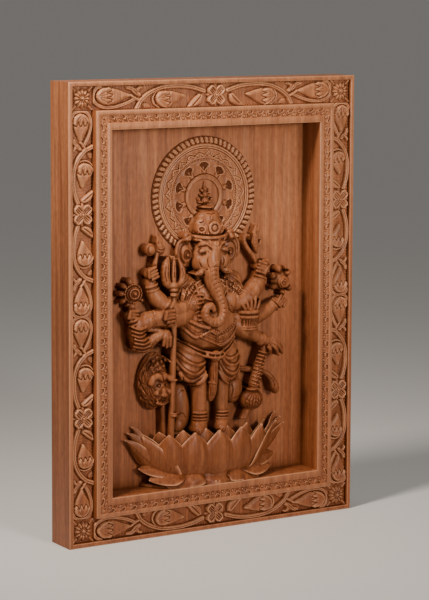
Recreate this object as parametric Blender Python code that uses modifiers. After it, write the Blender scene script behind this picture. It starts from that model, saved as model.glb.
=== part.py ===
# Carved wall panel: one block of wood, 406 mm tall, with a carved border, a sunk
# recess and an elephant-headed figure standing on a lotus in front of a round halo.
# The front looks along -Y, +X is the viewer's right and +Z is up. The panel stands
# on its underside, with the middle of its footprint at the origin.

import math
import random

import bmesh
import bpy
from mathutils import Matrix, Vector

# Sizes of the block, in metres

PANEL_HEIGHT = 0.406
PANEL_WIDTH = 0.297
PANEL_DEPTH = 0.0383
RECESS_DEPTH = 0.0279
SIDE_MARGIN = 0.0403
END_MARGIN = 0.0418

# Sizes of the border, in metres, from the outer edge inwards

RIM_WIDTH = 0.0039
RIM_SETBACK = 0.0041
CHANNEL_WIDTH = 0.0210
CHANNEL_DEPTH = 0.0046
FILLET_WIDTH = 0.0042
BEAD_BAND_WIDTH = 0.0065
BEAD_BAND_DEPTH = 0.0016

# Sizes of the border's carving, in metres

VINE_RELIEF = 0.0052
STEM_RADIUS = 0.0019
ROSETTE_RADIUS = 0.0088
ROSETTE_PETALS = 12
BLOSSOM_RADIUS = 0.0100
BLOSSOM_PETALS = 5

# Sizes of the halo, in metres

HALO_RADIUS = 0.0542
HALO_RELIEF = 0.0036
HALO_POCKETS = 10
HALO_SIDES = 28

# The halo's place, profile and pockets: its centre is a share of the opening's height,
# and the rest are shares of its own radius and relief

HALO_UP = 0.800
HALO_PROFILE = (
    (0.00, 0.30),
    (0.28, 0.30),
    (0.33, 1.00),
    (0.40, 0.55),
    (0.82, 0.62),
    (0.86, 0.95),
    (0.97, 0.95),
    (1.00, 0.20),
)
POCKET_RING = 0.52
POCKET_RADIUS = 0.095

# The lotus: counts of petals from side to side, its bowl's half width as a share of the
# opening's height, and how far it comes out as a share of the recess's depth

BOWL_PETALS = 7
SAUCER_PETALS = 7
BOWL_HALF_WIDTH = 0.195
BOWL_OUT = 0.84

# How deep a raised form is let into the wood that carries it, and how far hand work strays

ROOT = 0.0012
HAND_UNEVENNESS = 0.00006

# Values that follow from the sizes above

FRONT = -PANEL_DEPTH / 2
BACK = PANEL_DEPTH / 2
RIM_FACE = FRONT + RIM_SETBACK
CHANNEL_FLOOR = RIM_FACE + CHANNEL_DEPTH
BEAD_FLOOR = FRONT + BEAD_BAND_DEPTH
RECESS_FACE = FRONT + RECESS_DEPTH
OPENING_WIDTH = PANEL_WIDTH - 2 * SIDE_MARGIN
OPENING_HEIGHT = PANEL_HEIGHT - 2 * END_MARGIN
OPENING_BOTTOM = END_MARGIN
CHANNEL_INNER = RIM_WIDTH + CHANNEL_WIDTH
BEAD_OUTER = CHANNEL_INNER + FILLET_WIDTH
BEAD_INNER = BEAD_OUTER + BEAD_BAND_WIDTH
CHANNEL_MIDDLE = RIM_WIDTH + CHANNEL_WIDTH / 2

OUT = Vector((0, -1, 0))
CREASE = math.radians(50)
FLATNESS = math.radians(6)


def clear_scene():
    for old in list(bpy.data.objects):
        bpy.data.objects.remove(old, do_unlink=True)


def make_collection(name):
    group = bpy.data.collections.new(name)
    bpy.context.scene.collection.children.link(group)
    return group


def wood_material():
    wood = bpy.data.materials.new("carved_wood")
    wood.use_nodes = True
    shader = wood.node_tree.nodes["Principled BSDF"]
    shader.inputs["Base Color"].default_value = (0.33, 0.15, 0.075, 1)
    shader.inputs["Roughness"].default_value = 0.45
    shader.inputs["Metallic"].default_value = 0.0
    return wood


# Simple solids, all gathered in one mesh for each group of carving

knife = random.Random(7)


def wander():
    """The small unevenness of hand carving, which also keeps faces from coinciding."""
    return Vector([knife.uniform(-HAND_UNEVENNESS, HAND_UNEVENNESS) for axis in range(3)])


def add_ball(bm, place, radii, turn=None, segments=7, rings=5):
    matrix = Matrix.Translation(place + wander())
    if turn is not None:
        matrix = matrix @ turn.to_4x4()
    matrix = matrix @ Matrix.Diagonal((radii[0], radii[1], radii[2], 1))
    bmesh.ops.create_uvsphere(bm, u_segments=segments, v_segments=rings, radius=1, matrix=matrix)


def add_box(bm, low, high):
    low = Vector(low)
    high = Vector(high)
    size = high - low
    matrix = Matrix.Translation((low + high) / 2) @ Matrix.Diagonal((size.x, size.y, size.z, 1))
    bmesh.ops.create_cube(bm, size=1, matrix=matrix)


def add_lobed_boss(bm, place, radius, height, lobes, notch, top=0.55, turn=0.0):
    """A low boss with a scalloped edge, such as a blossom, standing out of a face."""
    face_out = Matrix.Rotation(math.radians(90), 4, "X")
    matrix = Matrix.Translation(place + OUT * (height - ROOT) / 2) @ face_out
    made = bmesh.ops.create_cone(
        bm,
        cap_ends=True,
        segments=2 * lobes,
        radius1=radius,
        radius2=radius * top,
        depth=height + ROOT,
        matrix=matrix,
    )
    for vert in made["verts"]:
        away = vert.co - place
        away.y = 0
        angle = math.atan2(away.z, away.x)
        step = round(angle / (math.pi / lobes))
        share = 1.0 if step % 2 == 0 else notch
        vert.co = Vector((place.x, vert.co.y, place.z)) + away * share
    spin = Matrix.Rotation(turn, 4, "Y")
    bmesh.ops.rotate(bm, cent=place, matrix=spin, verts=made["verts"])
    bmesh.ops.translate(bm, verts=made["verts"], vec=wander())


def add_leaf_boss(bm, place, along, half_length, half_width, height, sides=6):
    """A raised leaf on a face, blunt at its cap and pointed where along points."""
    face_out = Matrix.Rotation(math.radians(90), 4, "X")
    made = bmesh.ops.create_cone(
        bm,
        cap_ends=True,
        segments=sides,
        radius1=1,
        radius2=0.45,
        depth=1,
        matrix=face_out,
    )
    side = along.cross(OUT)
    for vert in made["verts"]:
        forward = vert.co.x
        sideways = vert.co.z
        level = vert.co.y
        width = half_width * (1 - 0.55 * max(forward, 0))
        out = height if level < 0 else -ROOT
        vert.co = place + along * forward * half_length + side * sideways * width + OUT * out
    bmesh.ops.translate(bm, verts=made["verts"], vec=wander())


def add_tube(bm, points, radii, sides=6):
    """A limb, stem or shaft: a bevelled curve through the points, with filled caps."""
    curve = bpy.data.curves.new("stroke", "CURVE")
    curve.dimensions = "3D"
    curve.bevel_depth = 1.0
    curve.bevel_resolution = max(0, (sides - 4) // 2)
    curve.use_fill_caps = True
    curve.twist_mode = "MINIMUM"
    spline = curve.splines.new("POLY")
    spline.points.add(len(points) - 1)
    for spot, place, radius in zip(spline.points, points, radii):
        spot.co = (*(Vector(place) + wander()), 1)
        spot.radius = radius
    holder = bpy.data.objects.new("stroke", curve)
    bpy.context.scene.collection.objects.link(holder)
    bpy.context.view_layer.update()
    mesh = bpy.data.meshes.new_from_object(
        holder.evaluated_get(bpy.context.evaluated_depsgraph_get()),
    )
    stroke = bmesh.new()
    stroke.from_mesh(mesh)
    bmesh.ops.remove_doubles(stroke, verts=stroke.verts, dist=1e-6)
    bmesh.ops.recalc_face_normals(stroke, faces=stroke.faces)
    stroke.to_mesh(mesh)
    stroke.free()
    bm.from_mesh(mesh)
    bpy.data.objects.remove(holder, do_unlink=True)
    bpy.data.curves.remove(curve)
    bpy.data.meshes.remove(mesh)


def object_from(bm, name, group, rounded=False):
    bmesh.ops.recalc_face_normals(bm, faces=bm.faces)
    mesh = bpy.data.meshes.new(name)
    bm.to_mesh(mesh)
    bm.free()
    if rounded:
        mesh.shade_smooth()
        mesh.set_sharp_from_angle(angle=CREASE)
    made = bpy.data.objects.new(name, mesh)
    group.objects.link(made)
    return made


def operand(made):
    made.hide_render = True
    made.display_type = "WIRE"
    return made


# The block: its recess, its sunk band for the vine and its sunk band for the beads


def make_block(group):
    bm = bmesh.new()
    add_box(bm, (-PANEL_WIDTH / 2, FRONT, 0), (PANEL_WIDTH / 2, BACK, PANEL_HEIGHT))
    return object_from(bm, "carved_panel", group)


def ring_cutter(name, group, outer, inner, floor):
    """A square ring, between two distances from the panel's edge, down to a floor."""
    bm = bmesh.new()
    left = -PANEL_WIDTH / 2
    clear = 2 * ROOT
    add_box(
        bm,
        (left + outer, FRONT - clear, outer),
        (-left - outer, floor, PANEL_HEIGHT - outer),
    )
    ring = object_from(bm, name, group)
    bm = bmesh.new()
    add_box(
        bm,
        (left + inner, FRONT - 2 * clear, inner),
        (-left - inner, floor + clear, PANEL_HEIGHT - inner),
    )
    core = operand(object_from(bm, name + "_core", group))
    join(ring, core, "DIFFERENCE")
    return operand(ring)


def recess_cutter(group):
    bm = bmesh.new()
    add_box(
        bm,
        (-OPENING_WIDTH / 2, FRONT - ROOT, OPENING_BOTTOM),
        (OPENING_WIDTH / 2, RECESS_FACE, OPENING_BOTTOM + OPENING_HEIGHT),
    )
    return operand(object_from(bm, "recess_cutter", group))


def join(base, other, operation, crossing=False):
    cut = base.modifiers.new(other.name, "BOOLEAN")
    cut.operation = operation
    cut.solver = "EXACT"
    cut.use_self = crossing
    cut.object = other
    return cut


# The border's carving


class Unit:
    """One stretch of the vine, from a corner or a middle to the blossom that ends it."""

    def __init__(self, start, end, outward):
        self.start = Vector(start)
        self.along = (Vector(end) - self.start).normalized()
        self.length = (Vector(end) - self.start).length
        self.outward = Vector(outward)

    def place(self, share, across, height=0.0):
        half = CHANNEL_WIDTH / 2
        return (
            self.start
            + self.along * share * self.length
            + self.outward * across * half
            + OUT * height
        )


def add_vine_unit(bm, unit):
    half = CHANNEL_WIDTH / 2
    reach = unit.length
    forward = unit.along
    add_leaf_boss(bm, unit.place(0.16, 0.0), forward, 0.125 * reach, 0.56 * half, VINE_RELIEF)
    add_leaf_boss(bm, unit.place(0.66, -0.22), forward, 0.19 * reach, 0.56 * half, VINE_RELIEF)
    add_leaf_boss(
        bm,
        unit.place(0.33, 0.62),
        -forward,
        0.06 * reach,
        0.26 * half,
        0.8 * VINE_RELIEF,
        4,
    )
    low = STEM_RADIUS * 0.8
    cap_stem = ((0.36, 0.30), (0.22, -0.72), (0.04, -0.70), (0.01, 0.45), (0.12, 0.80))
    arch_stem = ((0.33, -0.50), (0.42, 0.45), (0.60, 0.80), (0.82, 0.74), (0.93, 0.45))
    for route in (cap_stem, arch_stem):
        points = [unit.place(share, across, low) for share, across in route]
        add_tube(bm, points, [STEM_RADIUS] * len(points), 4)


def vine_units():
    """The twelve stretches: two on each end rail and four on each side rail."""
    x = PANEL_WIDTH / 2 - CHANNEL_MIDDLE
    top = PANEL_HEIGHT - CHANNEL_MIDDLE
    middle = PANEL_HEIGHT / 2
    corner = ROSETTE_RADIUS * 1.25
    quarter = (top - corner - middle) / 2 + middle
    y = CHANNEL_FLOOR
    units = []
    for side in (-1, 1):
        for z, up in ((top, 1), (CHANNEL_MIDDLE, -1)):
            units.append(Unit((side * (x - corner), y, z), (0, y, z), (0, 0, up)))
        for flip in (-1, 1):
            blossom = (side * x, y, middle + flip * (quarter - middle))
            units.append(
                Unit((side * x, y, middle + flip * (top - corner - middle)), blossom, (side, 0, 0)),
            )
            units.append(Unit((side * x, y, middle), blossom, (side, 0, 0)))
    return units


def border_carving(group):
    bm = bmesh.new()
    units = vine_units()
    for unit in units:
        add_vine_unit(bm, unit)
    ends = {tuple(round(v, 6) for v in unit.place(1.0, 0.0)) for unit in units}
    for end in sorted(ends):
        add_lobed_boss(
            bm,
            Vector(end),
            BLOSSOM_RADIUS,
            1.05 * VINE_RELIEF,
            BLOSSOM_PETALS,
            0.62,
            0.75,
        )
    for side in (-1, 1):
        for z in (CHANNEL_MIDDLE, PANEL_HEIGHT - CHANNEL_MIDDLE):
            place = Vector((side * (PANEL_WIDTH / 2 - CHANNEL_MIDDLE), CHANNEL_FLOOR, z))
            add_lobed_boss(
                bm,
                place,
                ROSETTE_RADIUS,
                0.85 * VINE_RELIEF,
                ROSETTE_PETALS,
                0.84,
                0.62,
            )
            add_lobed_boss(bm, place, 0.32 * ROSETTE_RADIUS, VINE_RELIEF, 3, 1.0, 0.6)
    return operand(object_from(bm, "border_carving", group, True))


# The halo, turned as a dish with a raised rim, with pockets cut into its field


def figure_place(across, up, out):
    """Shares of the opening's height across and up, and of the recess's depth out."""
    return Vector(
        (
            across * OPENING_HEIGHT,
            RECESS_FACE - out * RECESS_DEPTH,
            OPENING_BOTTOM + up * OPENING_HEIGHT,
        )
    )


def halo_dish(group):
    centre = figure_place(0, HALO_UP, 0)
    bm = bmesh.new()
    outline = [bm.verts.new((r * HALO_RADIUS, 0, h * HALO_RELIEF)) for r, h in HALO_PROFILE]
    outline.append(bm.verts.new((HALO_RADIUS, 0, -ROOT)))
    outline.append(bm.verts.new((0, 0, -ROOT)))
    for first, second in zip(outline, outline[1:]):
        bm.edges.new((first, second))
    mesh = bpy.data.meshes.new("halo_dish")
    bm.to_mesh(mesh)
    bm.free()
    dish = bpy.data.objects.new("halo_dish", mesh)
    group.objects.link(dish)
    turned = dish.modifiers.new("turned", "SCREW")
    turned.axis = "Z"
    turned.angle = math.radians(360)
    turned.steps = HALO_SIDES
    turned.render_steps = HALO_SIDES
    turned.use_merge_vertices = True
    turned.merge_threshold = 1e-5
    turned.use_normal_calculate = True
    turned.use_smooth_shade = True
    dish.location = centre
    dish.rotation_euler = (math.radians(90), 0, 0)
    return operand(dish)


def halo_pockets(group):
    bm = bmesh.new()
    for index in range(HALO_POCKETS):
        angle = 2 * math.pi * index / HALO_POCKETS
        ring = POCKET_RING * HALO_RADIUS
        centre = figure_place(0, HALO_UP, 0)
        place = centre + Vector(
            (math.sin(angle) * ring, -0.55 * HALO_RELIEF, math.cos(angle) * ring),
        )
        turn = Matrix.Rotation(-angle, 3, "Y").inverted()
        radius = POCKET_RADIUS * HALO_RADIUS
        add_ball(bm, place, (1.5 * radius, 0.45 * HALO_RELIEF, radius), turn, 6, 3)
    return operand(object_from(bm, "halo_pockets", group))


def carving_room(group):
    """The wood that the recess's carving is cut from: it never leaves the block."""
    bm = bmesh.new()
    low = figure_place(0, 0, 0) + Vector((-OPENING_WIDTH / 2 - ROOT, ROOT, -ROOT))
    high = figure_place(0, 1, 1) + Vector((OPENING_WIDTH / 2 + ROOT, 0, ROOT))
    add_box(bm, (low.x, high.y, low.z), (high.x, low.y, high.z))
    return operand(object_from(bm, "carving_room", group))


# The lotus: a half bowl of upright petals over a saucer of spreading ones


def lotus_place(angle, spread, up):
    across = math.sin(angle) * spread * BOWL_HALF_WIDTH
    out = math.cos(angle) * spread * BOWL_OUT
    return figure_place(across, up, out)


def add_petal(bm, angle, root, tip, half_width, thickness, rings=4):
    """A petal from its root to its tip, each a spread and a height on the bowl."""
    low = lotus_place(angle, *root)
    high = lotus_place(angle, *tip)
    along = (high - low).normalized()
    beside = lotus_place(angle + 0.05, *root) - lotus_place(angle - 0.05, *root)
    beside = (beside - along * beside.dot(along)).normalized()
    normal = along.cross(beside)
    turn = Matrix((beside, normal, along)).transposed()
    half = (high - low).length / 2
    radii = (half_width * OPENING_HEIGHT, thickness * OPENING_HEIGHT, 1.08 * half)
    add_ball(bm, (low + high) / 2, radii, turn, 6, rings)


def lotus(group):
    bm = bmesh.new()
    add_ball(bm, figure_place(0, 0.075, 0.0), share_radii(0.162, 0.74, 0.072), None, 10, 6)
    step = math.radians(150) / (BOWL_PETALS - 1)
    for index in range(BOWL_PETALS):
        angle = (index - (BOWL_PETALS - 1) / 2) * step
        lean = abs(math.sin(angle)) ** 3
        add_petal(
            bm,
            angle,
            (0.66, 0.035),
            (0.98 + 0.30 * lean, 0.150 - 0.004 * lean),
            0.052,
            0.016,
        )
    for index in range(BOWL_PETALS + 1):
        angle = (index - BOWL_PETALS / 2) * step
        angle = max(-1.45, min(1.45, angle))
        lean = abs(math.sin(angle)) ** 3
        add_petal(
            bm,
            angle,
            (0.66, 0.060),
            (0.88 + 0.26 * lean, 0.156 + 0.006 * lean),
            0.036,
            0.012,
            3,
        )
    step = math.radians(160) / (SAUCER_PETALS - 1)
    for index in range(SAUCER_PETALS):
        angle = (index - (SAUCER_PETALS - 1) / 2) * step
        lean = math.sin(angle) ** 2
        add_petal(
            bm,
            angle,
            (0.55, 0.022),
            (1.04 + 0.10 * lean, 0.012 + 0.040 * lean),
            0.050,
            0.010,
            3,
        )
    return operand(object_from(bm, "lotus", group, True))


# The figure, in shares of the opening's height and of the recess's depth


def share_radii(across, out, up):
    return (across * OPENING_HEIGHT, out * RECESS_DEPTH, up * OPENING_HEIGHT)


def add_limb(bm, route, sides=6):
    """A limb or rod through places given as across, up, out and radius."""
    points = [figure_place(across, up, out) for across, up, out, radius in route]
    radii = [radius * OPENING_HEIGHT for across, up, out, radius in route]
    add_tube(bm, points, radii, sides)


def add_lump(bm, across, up, out, radii, tilt=0.0, segments=6, rings=4):
    turn = Matrix.Rotation(math.radians(tilt), 3, "Y")
    add_ball(bm, figure_place(across, up, out), share_radii(*radii), turn, segments, rings)


def body(bm):
    add_lump(bm, 0.000, 0.515, 0.30, (0.082, 0.42, 0.062), 0, 10, 6)
    add_lump(bm, 0.000, 0.435, 0.34, (0.094, 0.50, 0.080), 0, 10, 8)
    add_lump(bm, 0.000, 0.350, 0.30, (0.094, 0.40, 0.050), 0, 8, 4)
    for side in (-1, 1):
        for fold in range(2):
            shrink = 1 - 0.18 * fold
            up = 0.350 - 0.042 * fold
            add_lump(bm, side * 0.056, up, 0.36, (0.045 * shrink, 0.36, 0.032), 12 * side, 7, 5)
        add_limb(
            bm,
            (
                (side * 0.040, 0.31, 0.40, 0.032),
                (side * 0.036, 0.21, 0.42, 0.024),
                (side * 0.038, 0.15, 0.44, 0.024),
            ),
            6,
        )
        add_lump(bm, side * 0.046, 0.157, 0.52, (0.032, 0.24, 0.014))
        for ring in (0.190,):
            add_lump(bm, side * 0.037, ring, 0.43, (0.030, 0.34, 0.007), 0, 6, 3)
        add_lump(bm, side * 0.088, 0.240, 0.10, (0.028, 0.26, 0.055), 8 * side)
    add_lump(bm, -0.004, 0.357, 0.72, (0.020, 0.16, 0.016))
    add_limb(
        bm,
        ((-0.004, 0.355, 0.70, 0.013), (-0.005, 0.29, 0.62, 0.018), (0.000, 0.233, 0.50, 0.020)),
        6,
    )
    add_limb(
        bm,
        (
            (-0.098, 0.402, 0.40, 0.008),
            (-0.055, 0.374, 0.66, 0.009),
            (0.0, 0.366, 0.74, 0.009),
            (0.055, 0.374, 0.66, 0.009),
            (0.098, 0.396, 0.40, 0.008),
        ),
        4,
    )
    add_limb(
        bm,
        (
            (-0.092, 0.485, 0.44, 0.008),
            (-0.050, 0.445, 0.76, 0.009),
            (0.0, 0.438, 0.82, 0.009),
            (0.045, 0.455, 0.74, 0.009),
            (0.084, 0.485, 0.44, 0.008),
        ),
        4,
    )


def head(bm):
    add_lump(bm, 0.000, 0.632, 0.40, (0.056, 0.40, 0.056), 0, 8, 6)
    add_lump(bm, 0.000, 0.700, 0.04, (0.050, 0.36, 0.062), 0, 8, 5)
    add_lump(bm, 0.000, 0.690, 0.36, (0.062, 0.36, 0.010), 0, 10, 3)
    add_lump(bm, 0.000, 0.712, 0.34, (0.046, 0.36, 0.038), 0, 8, 5)
    add_lump(bm, -0.002, 0.720, 0.66, (0.017, 0.08, 0.017), 0, 7, 4)
    add_lump(bm, -0.001, 0.757, 0.10, (0.027, 0.38, 0.024), 0, 8, 5)
    add_limb(
        bm,
        ((-0.001, 0.765, 0.22, 0.017), (-0.001, 0.80, 0.20, 0.014), (0.0, 0.838, 0.16, 0.004)),
        6,
    )
    for side in (-1, 1):
        add_lump(bm, side * 0.071, 0.690, 0.36, (0.014, 0.14, 0.014), 0, 6, 4)
        add_lump(bm, side * 0.073, 0.648, 0.26, (0.033, 0.16, 0.038), -10 * side, 7, 4)
        add_limb(bm, ((side * 0.030, 0.602, 0.58, 0.010), (side * 0.056, 0.574, 0.66, 0.004)), 4)
        add_lump(bm, side * 0.030, 0.655, 0.68, (0.018, 0.12, 0.012), 0, 6, 4)
    trunk = (
        (0.000, 0.655, 0.62, 0.030),
        (-0.006, 0.607, 0.72, 0.025),
        (-0.006, 0.568, 0.76, 0.022),
        (0.004, 0.531, 0.80, 0.020),
        (0.017, 0.497, 0.84, 0.018),
        (0.018, 0.472, 0.86, 0.016),
        (0.002, 0.459, 0.87, 0.015),
        (-0.018, 0.465, 0.87, 0.012),
        (-0.026, 0.482, 0.86, 0.009),
    )
    add_limb(bm, trunk, 6)
    add_lump(bm, -0.014, 0.490, 0.84, (0.014, 0.10, 0.014), 0, 6, 4)


def left_arms(bm):
    """The four arms on the viewer's left, with what their hands hold."""
    add_limb(
        bm,
        (
            (-0.070, 0.500, 0.34, 0.030),
            (-0.144, 0.503, 0.42, 0.027),
            (-0.172, 0.532, 0.42, 0.024),
            (-0.194, 0.565, 0.40, 0.015),
            (-0.192, 0.585, 0.40, 0.014),
        ),
    )
    add_lump(bm, -0.191, 0.592, 0.40, (0.019, 0.17, 0.024), 10)
    add_limb(bm, ((-0.184, 0.589, 0.40, 0.007), (-0.170, 0.655, 0.38, 0.006)), 4)
    add_lump(bm, -0.188, 0.667, 0.36, (0.020, 0.17, 0.019), 0, 8, 5)
    add_lump(bm, -0.160, 0.669, 0.36, (0.018, 0.15, 0.022), 0, 7, 5)
    add_limb(
        bm,
        (
            (-0.070, 0.490, 0.34, 0.030),
            (-0.179, 0.474, 0.46, 0.024),
            (-0.222, 0.466, 0.46, 0.022),
            (-0.248, 0.478, 0.44, 0.018),
        ),
    )
    add_lump(bm, -0.251, 0.495, 0.44, (0.024, 0.17, 0.020))
    place = figure_place(-0.247, 0.545, 0.20)
    add_lobed_boss(bm, place, 0.042 * OPENING_HEIGHT, 0.26 * RECESS_DEPTH, 5, 0.66, 0.8)
    add_limb(bm, ((-0.251, 0.490, 0.42, 0.010), (-0.248, 0.545, 0.36, 0.010)), 4)
    add_lump(bm, -0.247, 0.545, 0.46, (0.022, 0.12, 0.024))
    add_limb(
        bm,
        ((-0.222, 0.470, 0.46, 0.024), (-0.228, 0.440, 0.46, 0.022), (-0.222, 0.408, 0.46, 0.026)),
    )
    add_limb(
        bm,
        ((-0.222, 0.412, 0.46, 0.020), (-0.190, 0.428, 0.50, 0.016), (-0.158, 0.424, 0.54, 0.018)),
    )
    add_lump(bm, -0.205, 0.408, 0.54, (0.026, 0.14, 0.022))
    add_lump(bm, -0.157, 0.420, 0.56, (0.017, 0.16, 0.030))
    add_limb(bm, ((-0.175, 0.474, 0.46, 0.020), (-0.147, 0.481, 0.56, 0.020)))
    add_lump(bm, -0.145, 0.483, 0.60, (0.025, 0.16, 0.020))
    add_limb(
        bm,
        ((-0.122, 0.580, 0.52, 0.010), (-0.126, 0.459, 0.58, 0.010), (-0.130, 0.140, 0.54, 0.010)),
        6,
    )
    add_lump(bm, -0.131, 0.592, 0.50, (0.030, 0.20, 0.042), -6)
    for side in (-1, 1):
        add_limb(
            bm,
            (
                (-0.130, 0.560, 0.50, 0.014),
                (-0.130 + side * 0.030, 0.590, 0.50, 0.014),
                (-0.130 + side * 0.036, 0.626, 0.46, 0.005),
            ),
            4,
        )
    add_limb(bm, ((-0.131, 0.60, 0.52, 0.014), (-0.130, 0.645, 0.48, 0.005)), 4)


def right_arms(bm):
    """The four arms on the viewer's right, with what their hands hold."""
    add_limb(
        bm,
        (
            (0.070, 0.500, 0.34, 0.030),
            (0.123, 0.510, 0.42, 0.028),
            (0.152, 0.535, 0.42, 0.024),
            (0.166, 0.560, 0.40, 0.016),
            (0.161, 0.585, 0.40, 0.014),
        ),
    )
    add_lump(bm, 0.158, 0.588, 0.40, (0.019, 0.17, 0.022))
    hook = (
        (0.154, 0.600, 0.38, 0.010),
        (0.135, 0.630, 0.36, 0.009),
        (0.119, 0.655, 0.34, 0.008),
        (0.120, 0.677, 0.32, 0.007),
        (0.138, 0.682, 0.31, 0.006),
    )
    add_limb(bm, hook, 4)
    add_limb(
        bm,
        ((0.140, 0.630, 0.34, 0.012), (0.154, 0.674, 0.32, 0.014), (0.160, 0.712, 0.30, 0.004)),
        4,
    )
    add_lump(bm, 0.178, 0.603, 0.36, (0.016, 0.10, 0.012), 20, 5, 3)
    add_limb(
        bm,
        (
            (0.090, 0.450, 0.36, 0.026),
            (0.153, 0.455, 0.46, 0.024),
            (0.190, 0.470, 0.46, 0.020),
            (0.222, 0.486, 0.42, 0.015),
        ),
    )
    add_lump(bm, 0.230, 0.492, 0.42, (0.017, 0.15, 0.017))
    place = figure_place(0.238, 0.545, 0.20)
    add_lobed_boss(bm, place, 0.040 * OPENING_HEIGHT, 0.22 * RECESS_DEPTH, 5, 0.62, 0.8, 0.3)
    add_limb(bm, ((0.231, 0.490, 0.40, 0.010), (0.237, 0.545, 0.36, 0.010)), 4)
    add_lump(bm, 0.238, 0.545, 0.42, (0.022, 0.12, 0.022))
    add_limb(
        bm,
        ((0.080, 0.430, 0.36, 0.026), (0.119, 0.425, 0.50, 0.026), (0.118, 0.462, 0.56, 0.024)),
    )
    for finger in range(4):
        lean = 0.092 + 0.019 * finger
        add_limb(bm, ((0.112 + 0.005 * finger, 0.460, 0.58, 0.009), (lean, 0.505, 0.58, 0.006)), 4)
    add_lump(bm, 0.118, 0.458, 0.56, (0.028, 0.16, 0.010), 0, 7, 4)
    add_limb(
        bm,
        (
            (0.115, 0.425, 0.50, 0.024),
            (0.149, 0.395, 0.54, 0.019),
            (0.170, 0.370, 0.52, 0.016),
            (0.180, 0.356, 0.52, 0.014),
        ),
    )
    add_limb(bm, ((0.153, 0.409, 0.54, 0.012), (0.227, 0.356, 0.48, 0.013)), 6)
    add_limb(
        bm,
        ((0.182, 0.382, 0.52, 0.012), (0.162, 0.305, 0.52, 0.013), (0.138, 0.232, 0.50, 0.016)),
        6,
    )
    add_lump(bm, 0.131, 0.217, 0.46, (0.036, 0.32, 0.034), 0, 8, 6)
    add_limb(
        bm,
        (
            (0.150, 0.300, 0.36, 0.010),
            (0.179, 0.295, 0.32, 0.011),
            (0.204, 0.270, 0.32, 0.012),
            (0.214, 0.230, 0.34, 0.014),
        ),
        4,
    )
    add_limb(bm, ((0.080, 0.312, 0.34, 0.010), (0.160, 0.300, 0.36, 0.010)), 4)


def maned_mask(bm):
    add_lump(bm, -0.182, 0.297, 0.10, (0.060, 0.36, 0.084), 6, 9, 5)
    for up, out, radii in (
        (0.292, 0.42, (0.030, 0.12, 0.020)),
        (0.258, 0.40, (0.022, 0.14, 0.020)),
    ):
        add_lump(bm, -0.162, up, out, radii, 0, 6, 4)
    add_limb(bm, ((-0.152, 0.240, 0.26, 0.009), (-0.146, 0.150, 0.30, 0.009)), 4)


def figure(group):
    bm = bmesh.new()
    body(bm)
    head(bm)
    left_arms(bm)
    right_arms(bm)
    maned_mask(bm)
    return operand(object_from(bm, "figure", group, True))


# Putting the panel together


def main():
    clear_scene()
    parts = make_collection("carved_wall_panel")
    helpers = make_collection("cutters_and_carving")
    panel = make_block(parts)
    for name, outer, inner, floor in (
        ("rim_cutter", -2 * ROOT, CHANNEL_INNER, RIM_FACE),
        ("channel_cutter", RIM_WIDTH, CHANNEL_INNER, CHANNEL_FLOOR),
        ("bead_band_cutter", BEAD_OUTER, BEAD_INNER, BEAD_FLOOR),
    ):
        join(panel, ring_cutter(name, helpers, outer, inner, floor), "DIFFERENCE")
    join(panel, recess_cutter(helpers), "DIFFERENCE")
    join(panel, border_carving(helpers), "UNION", True)
    dish = halo_dish(helpers)
    join(dish, halo_pockets(helpers), "DIFFERENCE")
    join(panel, dish, "UNION")
    room = carving_room(helpers)
    for carving in (lotus(helpers), figure(helpers)):
        join(carving, room, "INTERSECT", True)
        join(panel, carving, "UNION")
    tidy = panel.modifiers.new("flat_faces_joined", "DECIMATE")
    tidy.decimate_type = "DISSOLVE"
    tidy.angle_limit = FLATNESS
    panel.data.materials.append(wood_material())
    helpers.hide_render = True


main()
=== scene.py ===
import math

import bmesh
import bpy
import numpy as np
from mathutils import Matrix, Vector


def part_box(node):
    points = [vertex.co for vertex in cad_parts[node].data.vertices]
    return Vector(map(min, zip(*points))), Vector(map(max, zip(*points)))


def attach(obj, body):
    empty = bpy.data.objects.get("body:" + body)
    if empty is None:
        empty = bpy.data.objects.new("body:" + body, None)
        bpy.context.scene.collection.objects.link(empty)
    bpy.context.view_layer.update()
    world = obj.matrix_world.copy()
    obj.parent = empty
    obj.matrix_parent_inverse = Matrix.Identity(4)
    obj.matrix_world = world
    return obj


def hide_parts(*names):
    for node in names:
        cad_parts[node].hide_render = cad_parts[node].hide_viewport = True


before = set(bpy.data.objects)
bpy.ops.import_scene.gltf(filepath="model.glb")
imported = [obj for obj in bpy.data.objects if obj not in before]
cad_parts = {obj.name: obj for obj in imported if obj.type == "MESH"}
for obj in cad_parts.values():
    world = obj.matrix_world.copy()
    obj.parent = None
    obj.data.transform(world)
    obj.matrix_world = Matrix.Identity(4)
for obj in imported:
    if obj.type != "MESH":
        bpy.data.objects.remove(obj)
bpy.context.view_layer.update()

# The view of the panel: a long lens a little left of the panel and above its middle, turned
# so that the left side of the block shows, with the panel filling most of an upright picture.

PICTURE_WIDTH = 429
PICTURE_HEIGHT = 600
SENSOR = 36.0
LENS = 132.29
CAMERA_PLACE = (-1.0258, -1.6742, 0.4959)
CAMERA_TURN = 0.5527
CAMERA_TILT = 0.1011
CAMERA_LEAN = 0.0037
HORIZON_ROW = 200

lens = bpy.data.cameras.new("picture_lens")
lens.sensor_width = SENSOR
lens.sensor_fit = "AUTO"
lens.lens = LENS
lens.shift_y = (HORIZON_ROW - PICTURE_HEIGHT / 2) / PICTURE_HEIGHT
lens.clip_start = 0.05
camera = bpy.data.objects.new("picture_camera", lens)
bpy.context.scene.collection.objects.link(camera)
camera.matrix_world = (
    Matrix.Translation(CAMERA_PLACE)
    @ Matrix.Rotation(-CAMERA_TURN, 4, "Z")
    @ Matrix.Rotation(math.pi / 2 - CAMERA_TILT, 4, "X")
    @ Matrix.Rotation(CAMERA_LEAN, 4, "Z")
)
bpy.context.scene.camera = camera

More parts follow.
